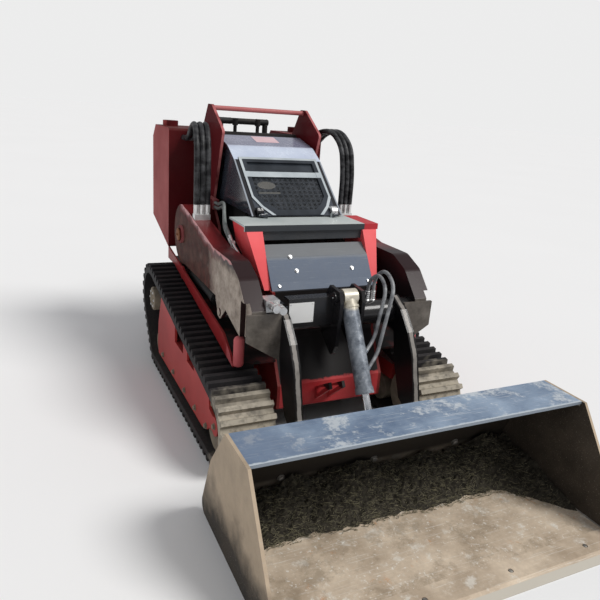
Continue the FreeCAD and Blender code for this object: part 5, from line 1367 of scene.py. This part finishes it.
def tread():
    """A long low bar at every step of a grid, turned left and right by turns."""
    x, y = np.meshgrid(np.arange(-0.225, 0.226, TREAD_PITCH), np.arange(0.985, 1.296, TREAD_PITCH),
                       indexing="ij")
    row, column = np.indices(x.shape)
    turn = np.where((row + column) % 2, TREAD_TURN, -TREAD_TURN)
    flat = np.zeros_like(turn)
    ahead = np.stack([np.cos(turn), np.sin(turn), flat], axis=-1).reshape(-1, 1, 3)
    across = np.stack([-np.sin(turn), np.cos(turn), flat], axis=-1).reshape(-1, 1, 3)
    centre = np.stack([x, y, flat + TREAD_TOP], axis=-1).reshape(-1, 1, 3)
    points = (centre + TREAD_BAR[:, :1] * ahead + TREAD_BAR[:, 1:2] * across
              + TREAD_BAR[:, 2:] * (0.0, 0.0, TREAD_HEIGHT))
    return points, repeated_faces(len(points), 8, BAR_FACES + [(4, 5, 6, 7), (3, 2, 1, 0)])


platform_tread = add_piece("platform_tread", tread(), cover_steel, "platform",
                           smooth=False)
print("tread faces", len(platform_tread.data.polygons))

# %% [markdown]
# The bar that the driver holds has two rubber grips. A grip is a sleeve whose
# radius ripples, with a low collar at each end.

# %% Grips
GRIP_Y, GRIP_Z, GRIP_RADIUS, RIPPLES = 0.800, 1.170, 0.0158, 12
GRIP_X = ((-0.128, -0.070), (0.070, 0.128))


def grip(start, end):
    share = np.linspace(0, 1, 61)
    ripple = GRIP_RADIUS * (1 + 0.035 * np.cos(share * RIPPLES * 2 * np.pi))
    ripple[[0, 1, -2, -1]] = GRIP_RADIUS * 1.06
    path = np.stack([start + (end - start) * share, np.full(61, GRIP_Y), np.full(61, GRIP_Z)],
                    axis=1)
    return tube(path, ripple, 20, (0, 0, 1))


add_piece("grips", merge([grip(*ends) for ends in GRIP_X]), vinyl, "chassis")
print("grips", len(GRIP_X))

# %% [markdown]
# The room is a plain studio floor. It is large enough to end beyond the
# picture, and its grey varies by one part in a hundred, as a swept floor's
# does. An evenly coloured one would look cut out.

# %% Floor
PALE = 0.86
FLOOR_HEIGHT = cad_box[0][2] - 0.0005
FLOOR_REACH = (-60.0, 60.0)


def floor_finish():
    skin = Finish("studio_floor", gloss=0.1)
    skin.colour(mix(skin.clouds(0.6, 2), (PALE - 0.01,) * 3, (PALE,) * 3))
    skin.rough(0.9)
    return skin


floor_mesh = bpy.data.meshes.new("floor")
floor_corners = [(x, y, FLOOR_HEIGHT) for x, y in rectangle(FLOOR_REACH, FLOOR_REACH)]
floor_mesh.from_pydata(floor_corners, [], [(0, 1, 2, 3)])
floor_mesh.materials.append(floor_finish().material)
floor = bpy.data.objects.new("floor", floor_mesh)
bpy.context.collection.objects.link(floor)
print("floor at", FLOOR_HEIGHT)

# %% [markdown]
# A pale world and one soft light, as wide as a cloudy sun, light the room.
# The sun comes from the machine's front left and above, as it did in the
# yard. Area lights would do too, but their light falls off, and the floor
# would turn grey towards the back. Together the two lights make a white card
# read as white, so colours come out about as they are written.

# %% World and light
WORLD_LEVEL, HORIZON = 0.46, 0.842
world = bpy.data.worlds.new("studio")
world.use_nodes = True
bpy.context.scene.world = world
background = world.node_tree.nodes["Background"]
seen = Layer(add_node(world.node_tree, "ShaderNodeLightPath").outputs["Is Camera Ray"])
sky = (WORLD_LEVEL, WORLD_LEVEL * 1.01, WORLD_LEVEL * 1.04)
link(mix(seen, sky, (HORIZON,) * 3), background.inputs["Color"])
link(1.0, background.inputs["Strength"])

sun_data = bpy.data.lights.new("soft_sun", "SUN")
sun_data.energy = 2.3
sun_data.angle = math.radians(24)
sun_data.color = (1.0, 0.985, 0.96)
sun = bpy.data.objects.new("soft_sun", sun_data)
sun.rotation_euler = Vector((-0.62, 0.58, -0.95)).to_track_quat("-Z", "Y").to_euler()
bpy.context.collection.objects.link(sun)
print("world", WORLD_LEVEL, "sun", sun_data.energy)
